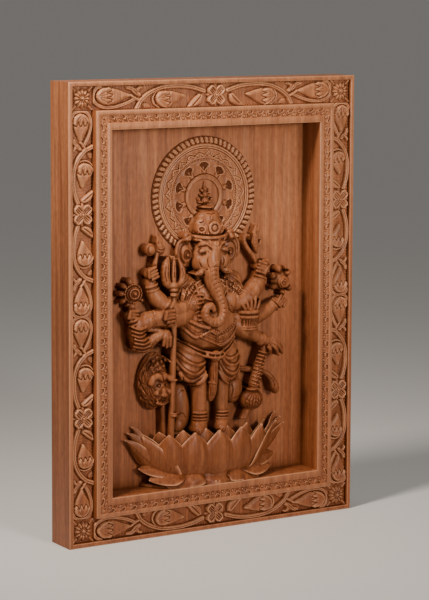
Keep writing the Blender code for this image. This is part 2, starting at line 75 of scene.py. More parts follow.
# The floor the panel stands on: one wide pale sheet with no edge in sight.

FLOOR_HALF = 60.0
FLOOR_COLOUR = (0.74, 0.72, 0.69, 1)

floor_mesh = bpy.data.meshes.new("floor")
floor_mesh.from_pydata(
    [(x * FLOOR_HALF, y * FLOOR_HALF, 0) for x, y in ((-1, -1), (1, -1), (1, 1), (-1, 1))],
    [],
    [(0, 1, 2, 3)],
)
floor = bpy.data.objects.new("floor", floor_mesh)
bpy.context.scene.collection.objects.link(floor)
floor_paint = bpy.data.materials.new("pale_floor")
floor_paint.use_nodes = True
floor_shader = floor_paint.node_tree.nodes["Principled BSDF"]
floor_shader.inputs["Base Color"].default_value = FLOOR_COLOUR
floor_shader.inputs["Roughness"].default_value = 0.8
floor_mesh.materials.append(floor_paint)

# Soft studio light: a large lamp in front whose beam fades down the panel, a wider weak one
# above it, a small steep one at the left that grazes the panel, and an even pale surrounding.


def softbox(name, place, aim, size, power, colour, spread):
    lamp = bpy.data.lights.new(name, "AREA")
    lamp.shape = "DISK"
    lamp.size = size
    lamp.energy = power
    lamp.color = colour
    lamp.spread = math.radians(spread)
    box = bpy.data.objects.new(name, lamp)
    bpy.context.scene.collection.objects.link(box)
    box.location = place
    box.rotation_euler = (Vector(aim) - Vector(place)).to_track_quat("-Z", "Y").to_euler()


softbox("front_lamp", (0.05, -1.42, 0.5), (0.0, 0.0, 0.34), 0.34, 1.65, (1.0, 0.96, 0.9), 55)
softbox("fill_lamp", (0.22, -1.25, 0.86), (0.0, 0.0, 0.25), 0.5, 0.6, (1.0, 0.95, 0.88), 120)
softbox("steep_left_lamp", (-0.52, -0.2, 0.92), (-0.1, 0.0, 0.3), 0.16, 2.4, (1.0, 0.9, 0.78), 90)
surround = bpy.data.worlds.new("studio")
surround.use_nodes = True
surround.node_tree.nodes["Background"].inputs["Color"].default_value = (1.0, 0.98, 0.95, 1)
surround.node_tree.nodes["Background"].inputs["Strength"].default_value = 0.22
bpy.context.scene.world = surround

# The wood: one block of reddish brown hardwood with its grain upright through every part,
# and painted shade that darkens it towards the bottom. Carved hollows hold dark old wax with
# painted shade, and edges are rubbed pale with a painted highlight. Every mesh carries a
# "wear_and_shade" value, from -1 on a rubbed, highlit edge to +1 in a shaded hollow, which the finish
# reads.

WOOD_DARK = (0.215, 0.066, 0.022, 1)
WOOD_MIDDLE = (0.35, 0.125, 0.048, 1)
WOOD_PALE = (0.47, 0.195, 0.088, 1)
# Colours for dark wax with painted shade in hollows, and for edges rubbed pale with a painted highlight.
WAX_AND_SHADE_DARK = (0.06, 0.014, 0.004, 1)
RUBBED_AND_HIGHLIT = (0.62, 0.3, 0.155, 1)


def wood_finish():
    wood = bpy.data.materials.new("carved_wood")
    wood.use_nodes = True
    tree = wood.node_tree
    nodes = tree.nodes
    links = tree.links
    shader = nodes["Principled BSDF"]
    place = nodes.new("ShaderNodeTexCoord")

    def stretched_noise(scale, detail, rough):
        mapping = nodes.new("ShaderNodeMapping")
        mapping.inputs["Scale"].default_value = scale
        links.new(place.outputs["Object"], mapping.inputs["Vector"])
        noise = nodes.new("ShaderNodeTexNoise")
        noise.inputs["Scale"].default_value = 1.0
        noise.inputs["Detail"].default_value = detail
        noise.inputs["Roughness"].default_value = rough
        links.new(mapping.outputs["Vector"], noise.inputs["Vector"])
        return noise.outputs["Fac"]

    def ramp(value, stops):
        band = nodes.new("ShaderNodeValToRGB")
        while len(band.color_ramp.elements) < len(stops):
            band.color_ramp.elements.new(0.5)
        for element, (position, colour) in zip(band.color_ramp.elements, stops):
            element.position = position
            element.color = colour
        links.new(value, band.inputs["Fac"])
        return band.outputs["Color"]

    def blend(share, first, second, kind="MIX"):
        mixer = nodes.new("ShaderNodeMix")
        mixer.data_type = "RGBA"
        mixer.blend_type = kind
        if isinstance(share, float):
            mixer.inputs["Factor"].default_value = share
        else:
            links.new(share, mixer.inputs["Factor"])
        links.new(first, mixer.inputs["A"])
        if isinstance(second, tuple):
            mixer.inputs["B"].default_value = second
        else:
            links.new(second, mixer.inputs["B"])
        return mixer.outputs["Result"]

    def remap(value, low, high, out_low, out_high):
        fit = nodes.new("ShaderNodeMapRange")
        fit.inputs["From Min"].default_value = low
        fit.inputs["From Max"].default_value = high
        fit.inputs["To Min"].default_value = out_low
        fit.inputs["To Max"].default_value = out_high
        links.new(value, fit.inputs["Value"])
        return fit.outputs["Result"]

    board = stretched_noise((150.0, 150.0, 5.0), 4.0, 0.55)
    fibre = stretched_noise((520.0, 520.0, 16.0), 6.0, 0.62)
    pore = stretched_noise((1500.0, 1500.0, 70.0), 3.0, 0.6)
    patch = stretched_noise((16.0, 16.0, 9.0), 3.0, 0.5)
    colour = ramp(board, ((0.24, WOOD_DARK), (0.5, WOOD_MIDDLE), (0.8, WOOD_PALE)))
    fibre_tone = ramp(fibre, ((0.3, (0.6, 0.56, 0.52, 1)), (0.7, (1.28, 1.24, 1.2, 1))))
    colour = blend(0.75, colour, fibre_tone, "MULTIPLY")
    pore_tone = ramp(pore, ((0.3, (0.62, 0.55, 0.5, 1)), (0.42, (1.0, 1.0, 1.0, 1))))
    colour = blend(0.55, colour, pore_tone, "MULTIPLY")
    patch_tone = ramp(patch, ((0.3, (0.9, 0.86, 0.83, 1)), (0.7, (1.06, 1.08, 1.1, 1))))
    colour = blend(0.8, colour, patch_tone, "MULTIPLY")
    stroke = stretched_noise((330.0, 330.0, 150.0), 3.0, 0.6)
    stroke_tone = ramp(stroke, ((0.32, (0.72, 0.66, 0.62, 1)), (0.62, (1.1, 1.1, 1.1, 1))))
    colour = blend(0.55, colour, stroke_tone, "MULTIPLY")
    height = nodes.new("ShaderNodeSeparateXYZ")
    links.new(place.outputs["Object"], height.inputs["Vector"])
    # Painted shade: the colour is darkened towards the bottom of the panel, below 0.3 m, where the lamps'
    # light falls off.
    painted_bottom_shade = remap(height.outputs["Z"], 0.0, 0.3, 1.0, 0.0)
    colour = blend(painted_bottom_shade, colour, blend(1.0, colour, (0.74, 0.62, 0.52, 1), "MULTIPLY"))
    wear_and_shade = nodes.new("ShaderNodeAttribute")
    wear_and_shade.attribute_name = "wear_and_shade"
    # Dark wax in the hollows mixed with painted shade, and pale rubbed edges mixed with a painted
    # highlight.
    held = remap(wear_and_shade.outputs["Fac"], 0.02, 0.85, 0.0, 0.88)
    rubbed_and_highlit = remap(wear_and_shade.outputs["Fac"], -0.1, -0.75, 0.0, 0.6)
    colour = blend(held, colour, WAX_AND_SHADE_DARK)
    colour = blend(rubbed_and_highlit, colour, RUBBED_AND_HIGHLIT)
    links.new(colour, shader.inputs["Base Color"])
    links.new(remap(fibre, 0.3, 0.7, 0.5, 0.36), shader.inputs["Roughness"])
    links.new(remap(wear_and_shade.outputs["Fac"], 0.0, 0.6, 0.32, 0.05), shader.inputs["Specular IOR Level"])
    grain_bump = nodes.new("ShaderNodeBump")
    grain_bump.inputs["Strength"].default_value = 0.35
    grain_bump.inputs["Distance"].default_value = 0.00022
    links.new(blend(0.5, fibre, pore), grain_bump.inputs["Height"])
    tool_bump = nodes.new("ShaderNodeBump")
    tool_bump.inputs["Strength"].default_value = 0.45
    tool_bump.inputs["Distance"].default_value = 0.0005
    links.new(stroke, tool_bump.inputs["Height"])
    links.new(grain_bump.outputs["Normal"], tool_bump.inputs["Normal"])
    links.new(tool_bump.outputs["Normal"], shader.inputs["Normal"])
    return wood


wood = wood_finish()
FRONT_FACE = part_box("carved_panel")[0][1]


def wooden_piece(name, verts, faces, wear_and_shade, crease=None):
    """A carved piece of the panel's one block, with its finish and its place in the frame."""
    mesh = bpy.data.meshes.new(name)
    inside_box = np.asarray(verts, dtype=float)
    inside_box[:, 1] = np.maximum(inside_box[:, 1], FRONT_FACE)
    mesh.from_pydata(inside_box.tolist(), [], faces)
    turned = bmesh.new()
    turned.from_mesh(mesh)
    bmesh.ops.recalc_face_normals(turned, faces=turned.faces)
    turned.to_mesh(mesh)
    turned.free()
    mark = mesh.attributes.new("wear_and_shade", "FLOAT", "POINT")
    mark.data.foreach_set("value", np.ascontiguousarray(wear_and_shade, dtype=np.float32))
    mesh.shade_smooth()
    if crease is not None:
        mesh.set_sharp_from_angle(angle=math.radians(crease))
    mesh.materials.append(wood)
    piece = bpy.data.objects.new(name, mesh)
    bpy.context.scene.collection.objects.link(piece)
    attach(piece, "root")
    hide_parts("carved_panel")


# The block itself: a planed plank with slightly rubbed arrises. From the edge inwards it
# has a narrow rim, a sunk band for the vine, a flat fillet, a shallow band for the beads,
# a second fillet and the deep recess, whose floor is the background of the figure.

RIM_WIDTH = 0.0039
RIM_SETBACK = 0.0041
CHANNEL_WIDTH = 0.021
CHANNEL_DEPTH = 0.0046
FILLET_WIDTH = 0.0042
BEAD_BAND_WIDTH = 0.0065
BEAD_BAND_DEPTH = 0.0016
RECESS_DEPTH = 0.0279
SIDE_MARGIN = 0.0403
END_MARGIN = 0.0418
ARRIS = 0.0009
SIDE_STEP = 0.004

panel_low, panel_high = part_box("carved_panel")
PANEL_WIDTH = panel_high[0] - panel_low[0]
PANEL_HEIGHT = panel_high[2] - panel_low[2]
FRONT = panel_low[1]
BACK = panel_high[1]
RIM_FACE = FRONT + RIM_SETBACK
CHANNEL_FLOOR = RIM_FACE + CHANNEL_DEPTH
CHANNEL_INNER = RIM_WIDTH + CHANNEL_WIDTH
CHANNEL_MIDDLE = RIM_WIDTH + CHANNEL_WIDTH / 2
BEAD_OUTER = CHANNEL_INNER + FILLET_WIDTH
BEAD_INNER = BEAD_OUTER + BEAD_BAND_WIDTH
BEAD_FLOOR = FRONT + BEAD_BAND_DEPTH
RECESS_FACE = FRONT + RECESS_DEPTH
OPENING_HEIGHT = PANEL_HEIGHT - 2 * END_MARGIN
OPENING_HALF = PANEL_WIDTH / 2 - SIDE_MARGIN


def block_profile():
    """Steps from the middle of the back round to the recess floor: inset, level and wear_and_shade value,
    high in inside corners for dark wax with painted shade, low on rubbed arrises with a painted highlight.
    """
    a = ARRIS
    steps = [(0.012, BACK, 0.1), (2 * a, BACK, 0.0), (a, BACK, -0.3)]
    steps += [(0.3 * a, BACK - 0.3 * a, -0.7), (0, BACK - a, -0.3), (0, BACK - 2 * a, 0.0)]
    steps += [(0, RIM_FACE + 2 * a, 0.0), (0, RIM_FACE + a, -0.3), (0.3 * a, RIM_FACE + 0.3 * a, -0.8)]
    steps += [(a, RIM_FACE, -0.2), (RIM_WIDTH - a, RIM_FACE, -0.1)]
    steps += [(RIM_WIDTH - 0.2 * a, RIM_FACE + 0.3 * a, -0.6), (RIM_WIDTH, RIM_FACE + a, 0.1)]
    steps += [(RIM_WIDTH, CHANNEL_FLOOR - a, 0.75), (RIM_WIDTH + 0.3 * a, CHANNEL_FLOOR, 0.95)]
    steps += [(RIM_WIDTH + 2 * a, CHANNEL_FLOOR, 0.3), (CHANNEL_INNER - 2 * a, CHANNEL_FLOOR, 0.2)]
    steps += [(CHANNEL_INNER - 0.3 * a, CHANNEL_FLOOR, 0.7), (CHANNEL_INNER, CHANNEL_FLOOR - a, 0.4)]
    steps += [(CHANNEL_INNER, FRONT + 2 * a, -0.1), (CHANNEL_INNER + 0.1 * a, FRONT + a, -0.4)]
    steps += [(CHANNEL_INNER + 0.4 * a, FRONT + 0.3 * a, -0.8), (CHANNEL_INNER + a, FRONT, -0.3)]
    steps += [(BEAD_OUTER - 0.5 * a, FRONT, -0.2), (BEAD_OUTER, FRONT + 0.4 * a, -0.3)]
    steps += [(BEAD_OUTER + 0.2 * a, BEAD_FLOOR, 0.8), (BEAD_INNER - 0.2 * a, BEAD_FLOOR, 0.8)]
    steps += [(BEAD_INNER, FRONT + 0.4 * a, -0.3), (BEAD_INNER + 0.5 * a, FRONT, -0.2)]
    return steps


def frame_rings():
    """Each ring's insets from the sides and from the ends, its level and its wear_and_shade value; towards
    the recess floor's inside corner the value rises as painted shade.
    """
    a = ARRIS
    rings = [(inset, inset, level, wear_and_shade) for inset, level, wear_and_shade in block_profile()]
    for short, level, wear_and_shade in (
        (a, FRONT, -0.2),
        (0.2 * a, FRONT + 0.3 * a, -0.8),
        (0, FRONT + a, -0.3),
        (0, FRONT + 0.2 * RECESS_DEPTH, 0.05),
        (0, FRONT + 0.7 * RECESS_DEPTH, 0.25),
        (0, RECESS_FACE - a, 0.6),
        (-0.4 * a, RECESS_FACE, 0.75),
        (-2.5 * a, RECESS_FACE, 0.45),
        (-0.008, RECESS_FACE, 0.12),
        (-0.02, RECESS_FACE, 0.0),
    ):
        rings.append((SIDE_MARGIN - short, END_MARGIN - short, level, wear_and_shade))
    return rings


def build_block():
    across_count = round(PANEL_WIDTH / SIDE_STEP)
    up_count = round(PANEL_HEIGHT / SIDE_STEP)
    verts = []
    wear_and_shade = []
    rings = frame_rings()
    for side_inset, end_inset, level, mark in rings:
        half = PANEL_WIDTH / 2 - side_inset
        low = end_inset
        high = PANEL_HEIGHT - end_inset
        corners = ((-half, low), (half, low), (half, high), (-half, high))
        counts = (across_count, up_count, across_count, up_count)
        for index in range(4):
            x0, z0 = corners[index]
            x1, z1 = corners[(index + 1) % 4]
            for step in range(counts[index]):
                share = step / counts[index]
                verts.append((x0 + (x1 - x0) * share, level, z0 + (z1 - z0) * share))
                wear_and_shade.append(mark)
    around = 2 * (across_count + up_count)
    faces = []
    for ring in range(len(rings) - 1):
        first = ring * around
        second = first + around
        for index in range(around):
            following = (index + 1) % around
            faces.append((first + index, first + following, second + following, second + index))
    faces.append(tuple(range(around))[::-1])
    last = (len(rings) - 1) * around
    faces.append(tuple(range(last, last + around)))
    wooden_piece("block", verts, faces, wear_and_shade, crease=50)


build_block()


# The vine on the border: a low relief left standing in the sunk band. A stem runs from each
# corner and each middle to a four-petalled blossom, wraps round one leaf in a toothed cap and
# arches over another. The four corners carry a small open rosette.

VINE_RELIEF = 0.0052
ROSETTE_RADIUS = 0.0088
ROSETTE_PETALS = 12
BLOSSOM_RADIUS = 0.0104
RELIEF_STEP = 0.0005
STRIP_ROOT = 0.0008
MM = 0.001


def smooth_route(points, step=0.0006):
    """A smooth line through a few chosen points, as closely spaced places."""
    points = np.asarray(points, dtype=float)
    padded = np.vstack([2 * points[0] - points[1], points, 2 * points[-1] - points[-2]])
    pieces = []
    for index in range(1, len(padded) - 2):
        before, start, end, after = padded[index - 1 : index + 3]
        count = max(2, int(np.linalg.norm((end - start)[:2]) / step))
        t = np.linspace(0, 1, count, endpoint=False)[:, None]
        pieces.append(
            0.5
            * (
                2 * start
                + (end - before) * t
                + (2 * before - 5 * start + 4 * end - after) * t**2
                + (3 * start - before - 3 * end + after) * t**3
            )
        )
    pieces.append(points[-1:])
    return np.vstack(pieces)


class Relief:
    """A field of heights over a plane, built up and cut into as a carver would."""

    def __init__(self, along, across):
        self.along = along
        self.across = across
        self.height = np.zeros(along.shape)

    def distance(self, route):
        """How far each place is from a route, and how far along the route it is, 0 to 1."""
        nearest = np.full(self.along.shape, 1e9)
        share = np.zeros(self.along.shape)
        last = max(1, len(route) - 1)
        for index in range(len(route) - 1):
            a = route[index]
            b = route[index + 1]
            run = b - a
            length = run @ run + 1e-18
            t = np.clip(((self.along - a[0]) * run[0] + (self.across - a[1]) * run[1]) / length, 0, 1)
            gap = np.hypot(self.along - a[0] - t * run[0], self.across - a[1] - t * run[1])
            closer = gap < nearest
            nearest = np.where(closer, gap, nearest)
            share = np.where(closer, (index + t) / last, share)
        return nearest, share

    def inside(self, outline):
        """Which places a closed outline holds."""
        held = np.zeros(self.along.shape, dtype=bool)
        for a, b in zip(outline, np.roll(outline, -1, axis=0)):
            spans = (a[1] > self.across) != (b[1] > self.across)
            slope = (b[0] - a[0]) / (b[1] - a[1] + 1e-12)
            held ^= spans & (self.along < a[0] + slope * (self.across - a[1]))
        return held

    def stem(self, points, radius, height, split):
        """A round stem, with a groove of the given share down its middle."""
        gap, _ = self.distance(smooth_route(points))
        round_top = np.sqrt(np.clip(1 - (gap / radius) ** 2, 0, 1))
        groove = split * height * np.exp(-((gap / (0.22 * radius)) ** 2))
        self.height = np.maximum(self.height, height * round_top - groove * (gap < radius))

    def leaf(self, points, height, crown, base=0.0):
        """A cushion with a smooth closed outline, rising over the crown's width."""
        outline = smooth_route(list(points) + [points[0]])
        gap, _ = self.distance(outline)
        rise = np.clip(gap / crown, 0, 1)
        top = base + (height - base) * np.sqrt(1 - (1 - rise) ** 2)
        self.height = np.where(self.inside(outline[:-1]), np.maximum(self.height, top), self.height)

    def groove(self, points, width, depth):
        """A line cut with a small gouge, only where something stands above the floor."""
        gap, share = self.distance(smooth_route(points))
        fade = np.clip(np.minimum(share, 1 - share) * 8, 0.25, 1)
        cut = depth * fade * np.exp(-((gap / width) ** 2))
        self.height = np.maximum(self.height - cut, np.minimum(self.height, 0))


def hollow_marks(height, step, reach, strength):
    """Marks from relief: above its surroundings a place is rubbed pale with a painted highlight, below them
    it is dark with wax and painted shade.
    """

    def blurred(field, radius):
        count = max(1, int(round(radius / step)))
        for axis in (0, 1):
            spread = [(count, count) if axis == 0 else (0, 0), (0, 0) if axis == 0 else (count, count)]
            padded = np.pad(field, spread, mode="edge")
            total = np.cumsum(padded, axis=axis)
            zero = np.zeros_like(np.take(total, [0], axis=axis))
            total = np.concatenate([zero, total], axis=axis)
            size = 2 * count + 1
            high = np.take(total, range(size, total.shape[axis]), axis=axis)
            low = np.take(total, range(0, total.shape[axis] - size), axis=axis)
            field = (high - low) / size
        return field

    near = blurred(height, reach * 0.22) - height
    wide = blurred(height, reach * 0.6) - height
    return np.clip(strength * (2.2 * near + 0.5 * wide) / MM, -1, 1)


def vine_unit(length):
    """Heights of one stretch of vine, from where it starts (row 0) to its blossom."""
    half = CHANNEL_WIDTH / 2
    rows = int(round(length / RELIEF_STEP)) + 1
    columns = int(round(CHANNEL_WIDTH / RELIEF_STEP)) + 1
    run, side = np.meshgrid(np.linspace(0, length, rows), np.linspace(-half, half, columns), indexing="ij")
    relief = Relief(run, side)
    high = VINE_RELIEF

    def at(*pairs):
        return [(share * length, across * half) for share, across in pairs]

    def capped_leaf(rim, teeth, tip):
        """A pointed leaf in a cap whose edge is cut in teeth; rim and tip given, cap first."""
        body = at(*rim, *tip)
        relief.leaf(body, 0.8 * high, 3.0 * MM, 0.25 * high)
        relief.groove(at(*teeth), 0.62 * MM, 0.55 * high)
        relief.leaf(at(*rim, *teeth[::-1]), 0.98 * high, 1.7 * MM, 0.62 * high)
        for first, second in zip(teeth[:-1:2], teeth[1::2]):
            middle = (0.5 * (first[0] + second[0]), 0.5 * (first[1] + second[1]))
            relief.groove(at(rim[len(rim) // 2], middle), 0.32 * MM, 0.1 * high)

    relief.stem(at((0.055, 0.94), (0.015, 0.72), (-0.004, 0.1), (0.02, -0.46), (0.085, -0.78),
        (0.17, -0.76), (0.26, -0.5), (0.335, -0.12)), 1.75 * MM, 0.66 * high, 0.3)
    relief.stem(at((0.345, -0.98), (0.362, -0.62), (0.385, -0.22), (0.455, 0.34), (0.555, 0.74),
        (0.68, 0.84), (0.8, 0.7), (0.9, 0.36)), 2.15 * MM, 0.74 * high, 0.34)
    relief.stem(at((0.3, 0.14), (0.335, -0.12), (0.372, -0.3)), 1.4 * MM, 0.62 * high, 0.0)
    capped_leaf(
        ((0.11, 0.86), (0.06, 0.78), (0.03, 0.46), (0.022, 0.14), (0.036, -0.22), (0.072, -0.5),
            (0.118, -0.58)),
        ((0.118, 0.88), (0.14, 0.66), (0.1, 0.44), (0.142, 0.22), (0.1, 0.02), (0.14, -0.2),
            (0.104, -0.38), (0.126, -0.58)),
        ((0.175, -0.5), (0.235, -0.18), (0.3, 0.14), (0.24, 0.46), (0.175, 0.74)),
    )
    capped_leaf(
        ((0.57, 0.46), (0.53, 0.4), (0.506, 0.14), (0.5, -0.16), (0.512, -0.56), (0.545, -0.88),
            (0.58, -0.96)),
        ((0.58, 0.46), (0.608, 0.26), (0.568, 0.06), (0.612, -0.14), (0.572, -0.36), (0.612, -0.58),
            (0.578, -0.78), (0.592, -0.96)),
        ((0.63, -0.8), (0.69, -0.4), (0.745, 0.0), (0.69, 0.24), (0.63, 0.42)),
    )
    relief.stem(at((0.56, 0.5), (0.505, 0.36), (0.478, -0.1), (0.49, -0.6), (0.53, -0.96)), 0.9 * MM,
        0.5 * high, 0.0)
    relief.leaf(at((0.255, 0.92), (0.262, 0.66), (0.3, 0.52), (0.33, 0.2), (0.372, 0.0), (0.385, 0.24),
        (0.368, 0.52), (0.4, 0.78), (0.372, 0.94), (0.335, 0.78), (0.3, 0.94)), 0.66 * high, 2.0 * MM)
    relief.groove(at((0.275, 0.84), (0.31, 0.66), (0.355, 0.18)), 0.45 * MM, 0.22 * high)
    relief.groove(at((0.33, 0.74), (0.345, 0.56), (0.36, 0.3)), 0.4 * MM, 0.16 * high)
    relief.groove(at((0.385, 0.76), (0.365, 0.56), (0.36, 0.34)), 0.4 * MM, 0.16 * high)
    relief.leaf(at((0.855, 0.14), (0.808, -0.3), (0.765, -0.94), (0.82, -0.96), (0.872, -0.72),
        (0.89, -0.3), (0.885, 0.06)), 0.8 * high, 2.2 * MM)
    relief.groove(at((0.875, 0.04), (0.842, -0.38), (0.795, -0.9)), 0.5 * MM, 0.32 * high)
    relief.leaf(at((0.405, -0.96), (0.395, -0.6), (0.42, -0.46), (0.455, -0.66), (0.46, -0.92)),
        0.4 * high, 1.6 * MM)
    return relief.height


def cross_blossom(run, side):
    """A flower of four broad notched petals set corner to corner, veined, round a knob."""
    height = np.zeros(run.shape)
    for turn in (46, 134, 226, 314):
        angle = math.radians(turn)
        u = run * math.cos(angle) + side * math.sin(angle)
        v = side * math.cos(angle) - run * math.sin(angle)
        reach = 5.5 * MM - 0.9 * MM * np.exp(-((v / (1.0 * MM)) ** 2))
        body = 1 - ((u - 5.6 * MM) / reach) ** 2 - (v / (4.7 * MM)) ** 2
        petal = np.sqrt(np.clip(2.4 * body, 0, 1)) * (0.86 + 0.14 * np.clip(u / (9 * MM), 0, 1))
        petal = petal - 0.22 * np.clip(1.6 * body - 0.5, 0, 1)
        for place in (-1.7, 0.0, 1.7):
            petal = petal - 0.3 * np.exp(-(((v - place * MM) / (0.38 * MM)) ** 2)) * (u > 2.2
                * MM) * (u < 8.4 * MM)
        height = np.where(body > 0, np.maximum(height, VINE_RELIEF * petal), height)
        between = math.radians(turn + 44)
        w = run * math.cos(between) + side * math.sin(between)
        q = side * math.cos(between) - run * math.sin(between)
        leaf = 1 - ((w - 7.2 * MM) / (3.4 * MM)) ** 2 - (q / (1.5 * MM)) ** 2
        leaf = 0.5 * VINE_RELIEF * np.sqrt(np.clip(leaf, 0, 1))
        height = np.maximum(height, leaf)
    knob = 1 - (run**2 + side**2) / (1.9 * MM) ** 2
    return np.maximum(height, VINE_RELIEF * 1.02 * np.sqrt(np.clip(knob, 0, 1)))


def petal_ring(run, side, radius, petals, height, turn, notch, dish):
    """A flower seen from above: veined petals round a knob in a dished middle."""
    r = np.hypot(run, side) / radius
    angle = np.arctan2(side, run) + turn
    lobe = np.cos(angle * petals)
    edge = 1 - notch * (0.5 - 0.5 * lobe)
    petal = np.sqrt(np.clip(1 - (r / edge) ** 2, 0, 1)) * (0.62 + 0.38 * np.sqrt(np.clip(0.5 + 0.5 * lobe,
        0, 1)))
    vein = 0.1 * np.cos(angle * petals * 3) * np.clip((r - dish) * 4, 0, 1)
    bowl = np.where(r < dish, -0.5 * np.sqrt(np.clip(1 - (r / dish) ** 2, 0, 1)), 0)
    knob = 0.62 * np.sqrt(np.clip(1 - (r / (0.42 * dish)) ** 2, 0, 1))
    return height * np.where(r < edge, petal + vein + bowl + knob, 0)


def rail_heights(reach, units, blossoms, centres):
    """Heights along one rail: its vine stretches end to end, blossoms and corner rosettes."""
    columns = int(round(CHANNEL_WIDTH / RELIEF_STEP)) + 1
    half = CHANNEL_WIDTH / 2
    rows = int(round(reach / RELIEF_STEP)) + 1
    run, side = np.meshgrid(np.linspace(0, reach, rows), np.linspace(-half, half, columns), indexing="ij")
    height = np.zeros(run.shape)
    for start, end, pattern in units:
        share = (run[:, 0] - start) / (end - start)
        held = (share >= 0) & (share <= 1)
        source = share[held] * (len(pattern) - 1)
        low = np.clip(source.astype(int), 0, len(pattern) - 2)
        mix = (source - low)[:, None]
        height[held] = np.maximum(height[held], pattern[low] * (1 - mix) + pattern[low + 1] * mix)
    for place in blossoms:
        flower = cross_blossom(run - place, side)
        near = np.hypot(run - place, side) < 0.98 * BLOSSOM_RADIUS
        height = np.where(near, flower, height)
    for place in centres:
        rosette = petal_ring(run - place, side, ROSETTE_RADIUS, ROSETTE_PETALS, 0.9 * VINE_RELIEF, 0.0,
            0.16, 0.5)
        corner = np.maximum(np.abs(run - place), np.abs(side))
        leaflet = 0.42 * VINE_RELIEF * np.clip(1 - np.abs(np.abs(run - place) - np.abs(side)) / (3.2
            * MM), 0, 1)
        leaflet = leaflet * (np.hypot(run - place, side) > 0.98 * ROSETTE_RADIUS) * (corner < half)
        height = np.maximum(height, np.maximum(rosette, leaflet))
    edge = np.clip((half - np.abs(side)) / (0.5 * MM), 0, 1)
    chatter = 0.06 * MM * np.sin(run * 2300 + 3 * np.sin(side * 900)) * np.sin(side * 1900 + 1.3)
    return (height + chatter) * (0.15 + 0.85 * edge)


def relief_piece(name, top, height, root, wear_and_shade):
    """A closed strip of carving: its carved top, its sides and its hidden underside."""
    rows, columns = height.shape
    count = rows * columns
    front = top(height).reshape(-1, 3)
    under = top(np.full(height.shape, -root)).reshape(-1, 3)
    index = np.arange(count).reshape(rows, columns)
    quads = np.stack([index[:-1, :-1], index[1:, :-1], index[1:, 1:], index[:-1, 1:]],
        axis=-1).reshape(-1, 4)
    rim = np.concatenate([index[0, :-1], index[:-1, -1], index[-1, :0:-1], index[:0:-1, 0]])
    verts = np.vstack([front, under[rim]])
    low = np.arange(len(rim)) + count
    following = np.roll(np.arange(len(rim)), -1)
    sides = np.stack([rim, rim[following], low[following], low], axis=-1)
    a, b, c = (Vector(front[corner]) for corner in quads[0][:3])
    flip = (b - a).cross(c - a).y > 0
    faces = quads[:, ::-1] if flip else quads
    sides = sides if flip else sides[:, ::-1]
    bottom = low if flip else low[::-1]
    marks = np.concatenate([wear_and_shade.reshape(-1), np.full(len(rim), 0.8)])
    wooden_piece(name, verts.tolist(), faces.tolist() + sides.tolist() + [bottom.tolist()], marks)


def lay_side_rail(name, side):
    corner = CHANNEL_MIDDLE + 1.25 * ROSETTE_RADIUS - RIM_WIDTH
    reach = PANEL_HEIGHT - 2 * RIM_WIDTH
    middle = reach / 2
    blossom = (corner + middle) / 2
    pattern = vine_unit(blossom - corner)
    units = [
        (corner, blossom, pattern),
        (middle, blossom, pattern),
        (middle, reach - blossom, pattern),
        (reach - corner, reach - blossom, pattern),
    ]
    rosettes = (CHANNEL_WIDTH / 2, reach - CHANNEL_WIDTH / 2)
    height = rail_heights(reach, units, (blossom, reach - blossom), rosettes)
    rows, columns = height.shape
    run, out = np.meshgrid(
        np.linspace(0, reach, rows),
        np.linspace(-CHANNEL_WIDTH / 2, CHANNEL_WIDTH / 2, columns),
        indexing="ij",
    )

    def top(level):
        x = side * (PANEL_WIDTH / 2 - CHANNEL_MIDDLE + out)
        return np.stack([x, CHANNEL_FLOOR - level, RIM_WIDTH + run], axis=-1)

    wear_and_shade = hollow_marks(height, RELIEF_STEP, 3.2 * MM, 0.62) + 0.02
    relief_piece(name, top, height, STRIP_ROOT, wear_and_shade)


def lay_end_rail(name, side):
    start = CHANNEL_INNER
    reach = PANEL_WIDTH - 2 * start
    corner = CHANNEL_MIDDLE + 1.25 * ROSETTE_RADIUS - start
    pattern = vine_unit(reach / 2 - corner)
    units = [(corner, reach / 2, pattern), (reach - corner, reach / 2, pattern)]
    height = rail_heights(reach, units, (reach / 2,), ())
    rows, columns = height.shape
    run, out = np.meshgrid(
        np.linspace(0, reach, rows),
        np.linspace(-CHANNEL_WIDTH / 2, CHANNEL_WIDTH / 2, columns),
        indexing="ij",
    )

    def top(level):
        z = PANEL_HEIGHT / 2 + side * (PANEL_HEIGHT / 2 - CHANNEL_MIDDLE + out)
        return np.stack([start - PANEL_WIDTH / 2 + run, CHANNEL_FLOOR - level, z], axis=-1)

    wear_and_shade = hollow_marks(height, RELIEF_STEP, 3.2 * MM, 0.62) + 0.02
    relief_piece(name, top, height, STRIP_ROOT, wear_and_shade)


lay_side_rail("vine_left", -1)
lay_side_rail("vine_right", 1)
lay_end_rail("vine_top", 1)
lay_end_rail("vine_bottom", -1)

# The bead band: small scooped hollows along its outer side, a bead between each two on its
# inner side, and a pair of short slanting petals that tie them together.

BEAD_PITCH = 0.011
BEAD_RELIEF = 0.0016
BEAD_STEP = 0.0004


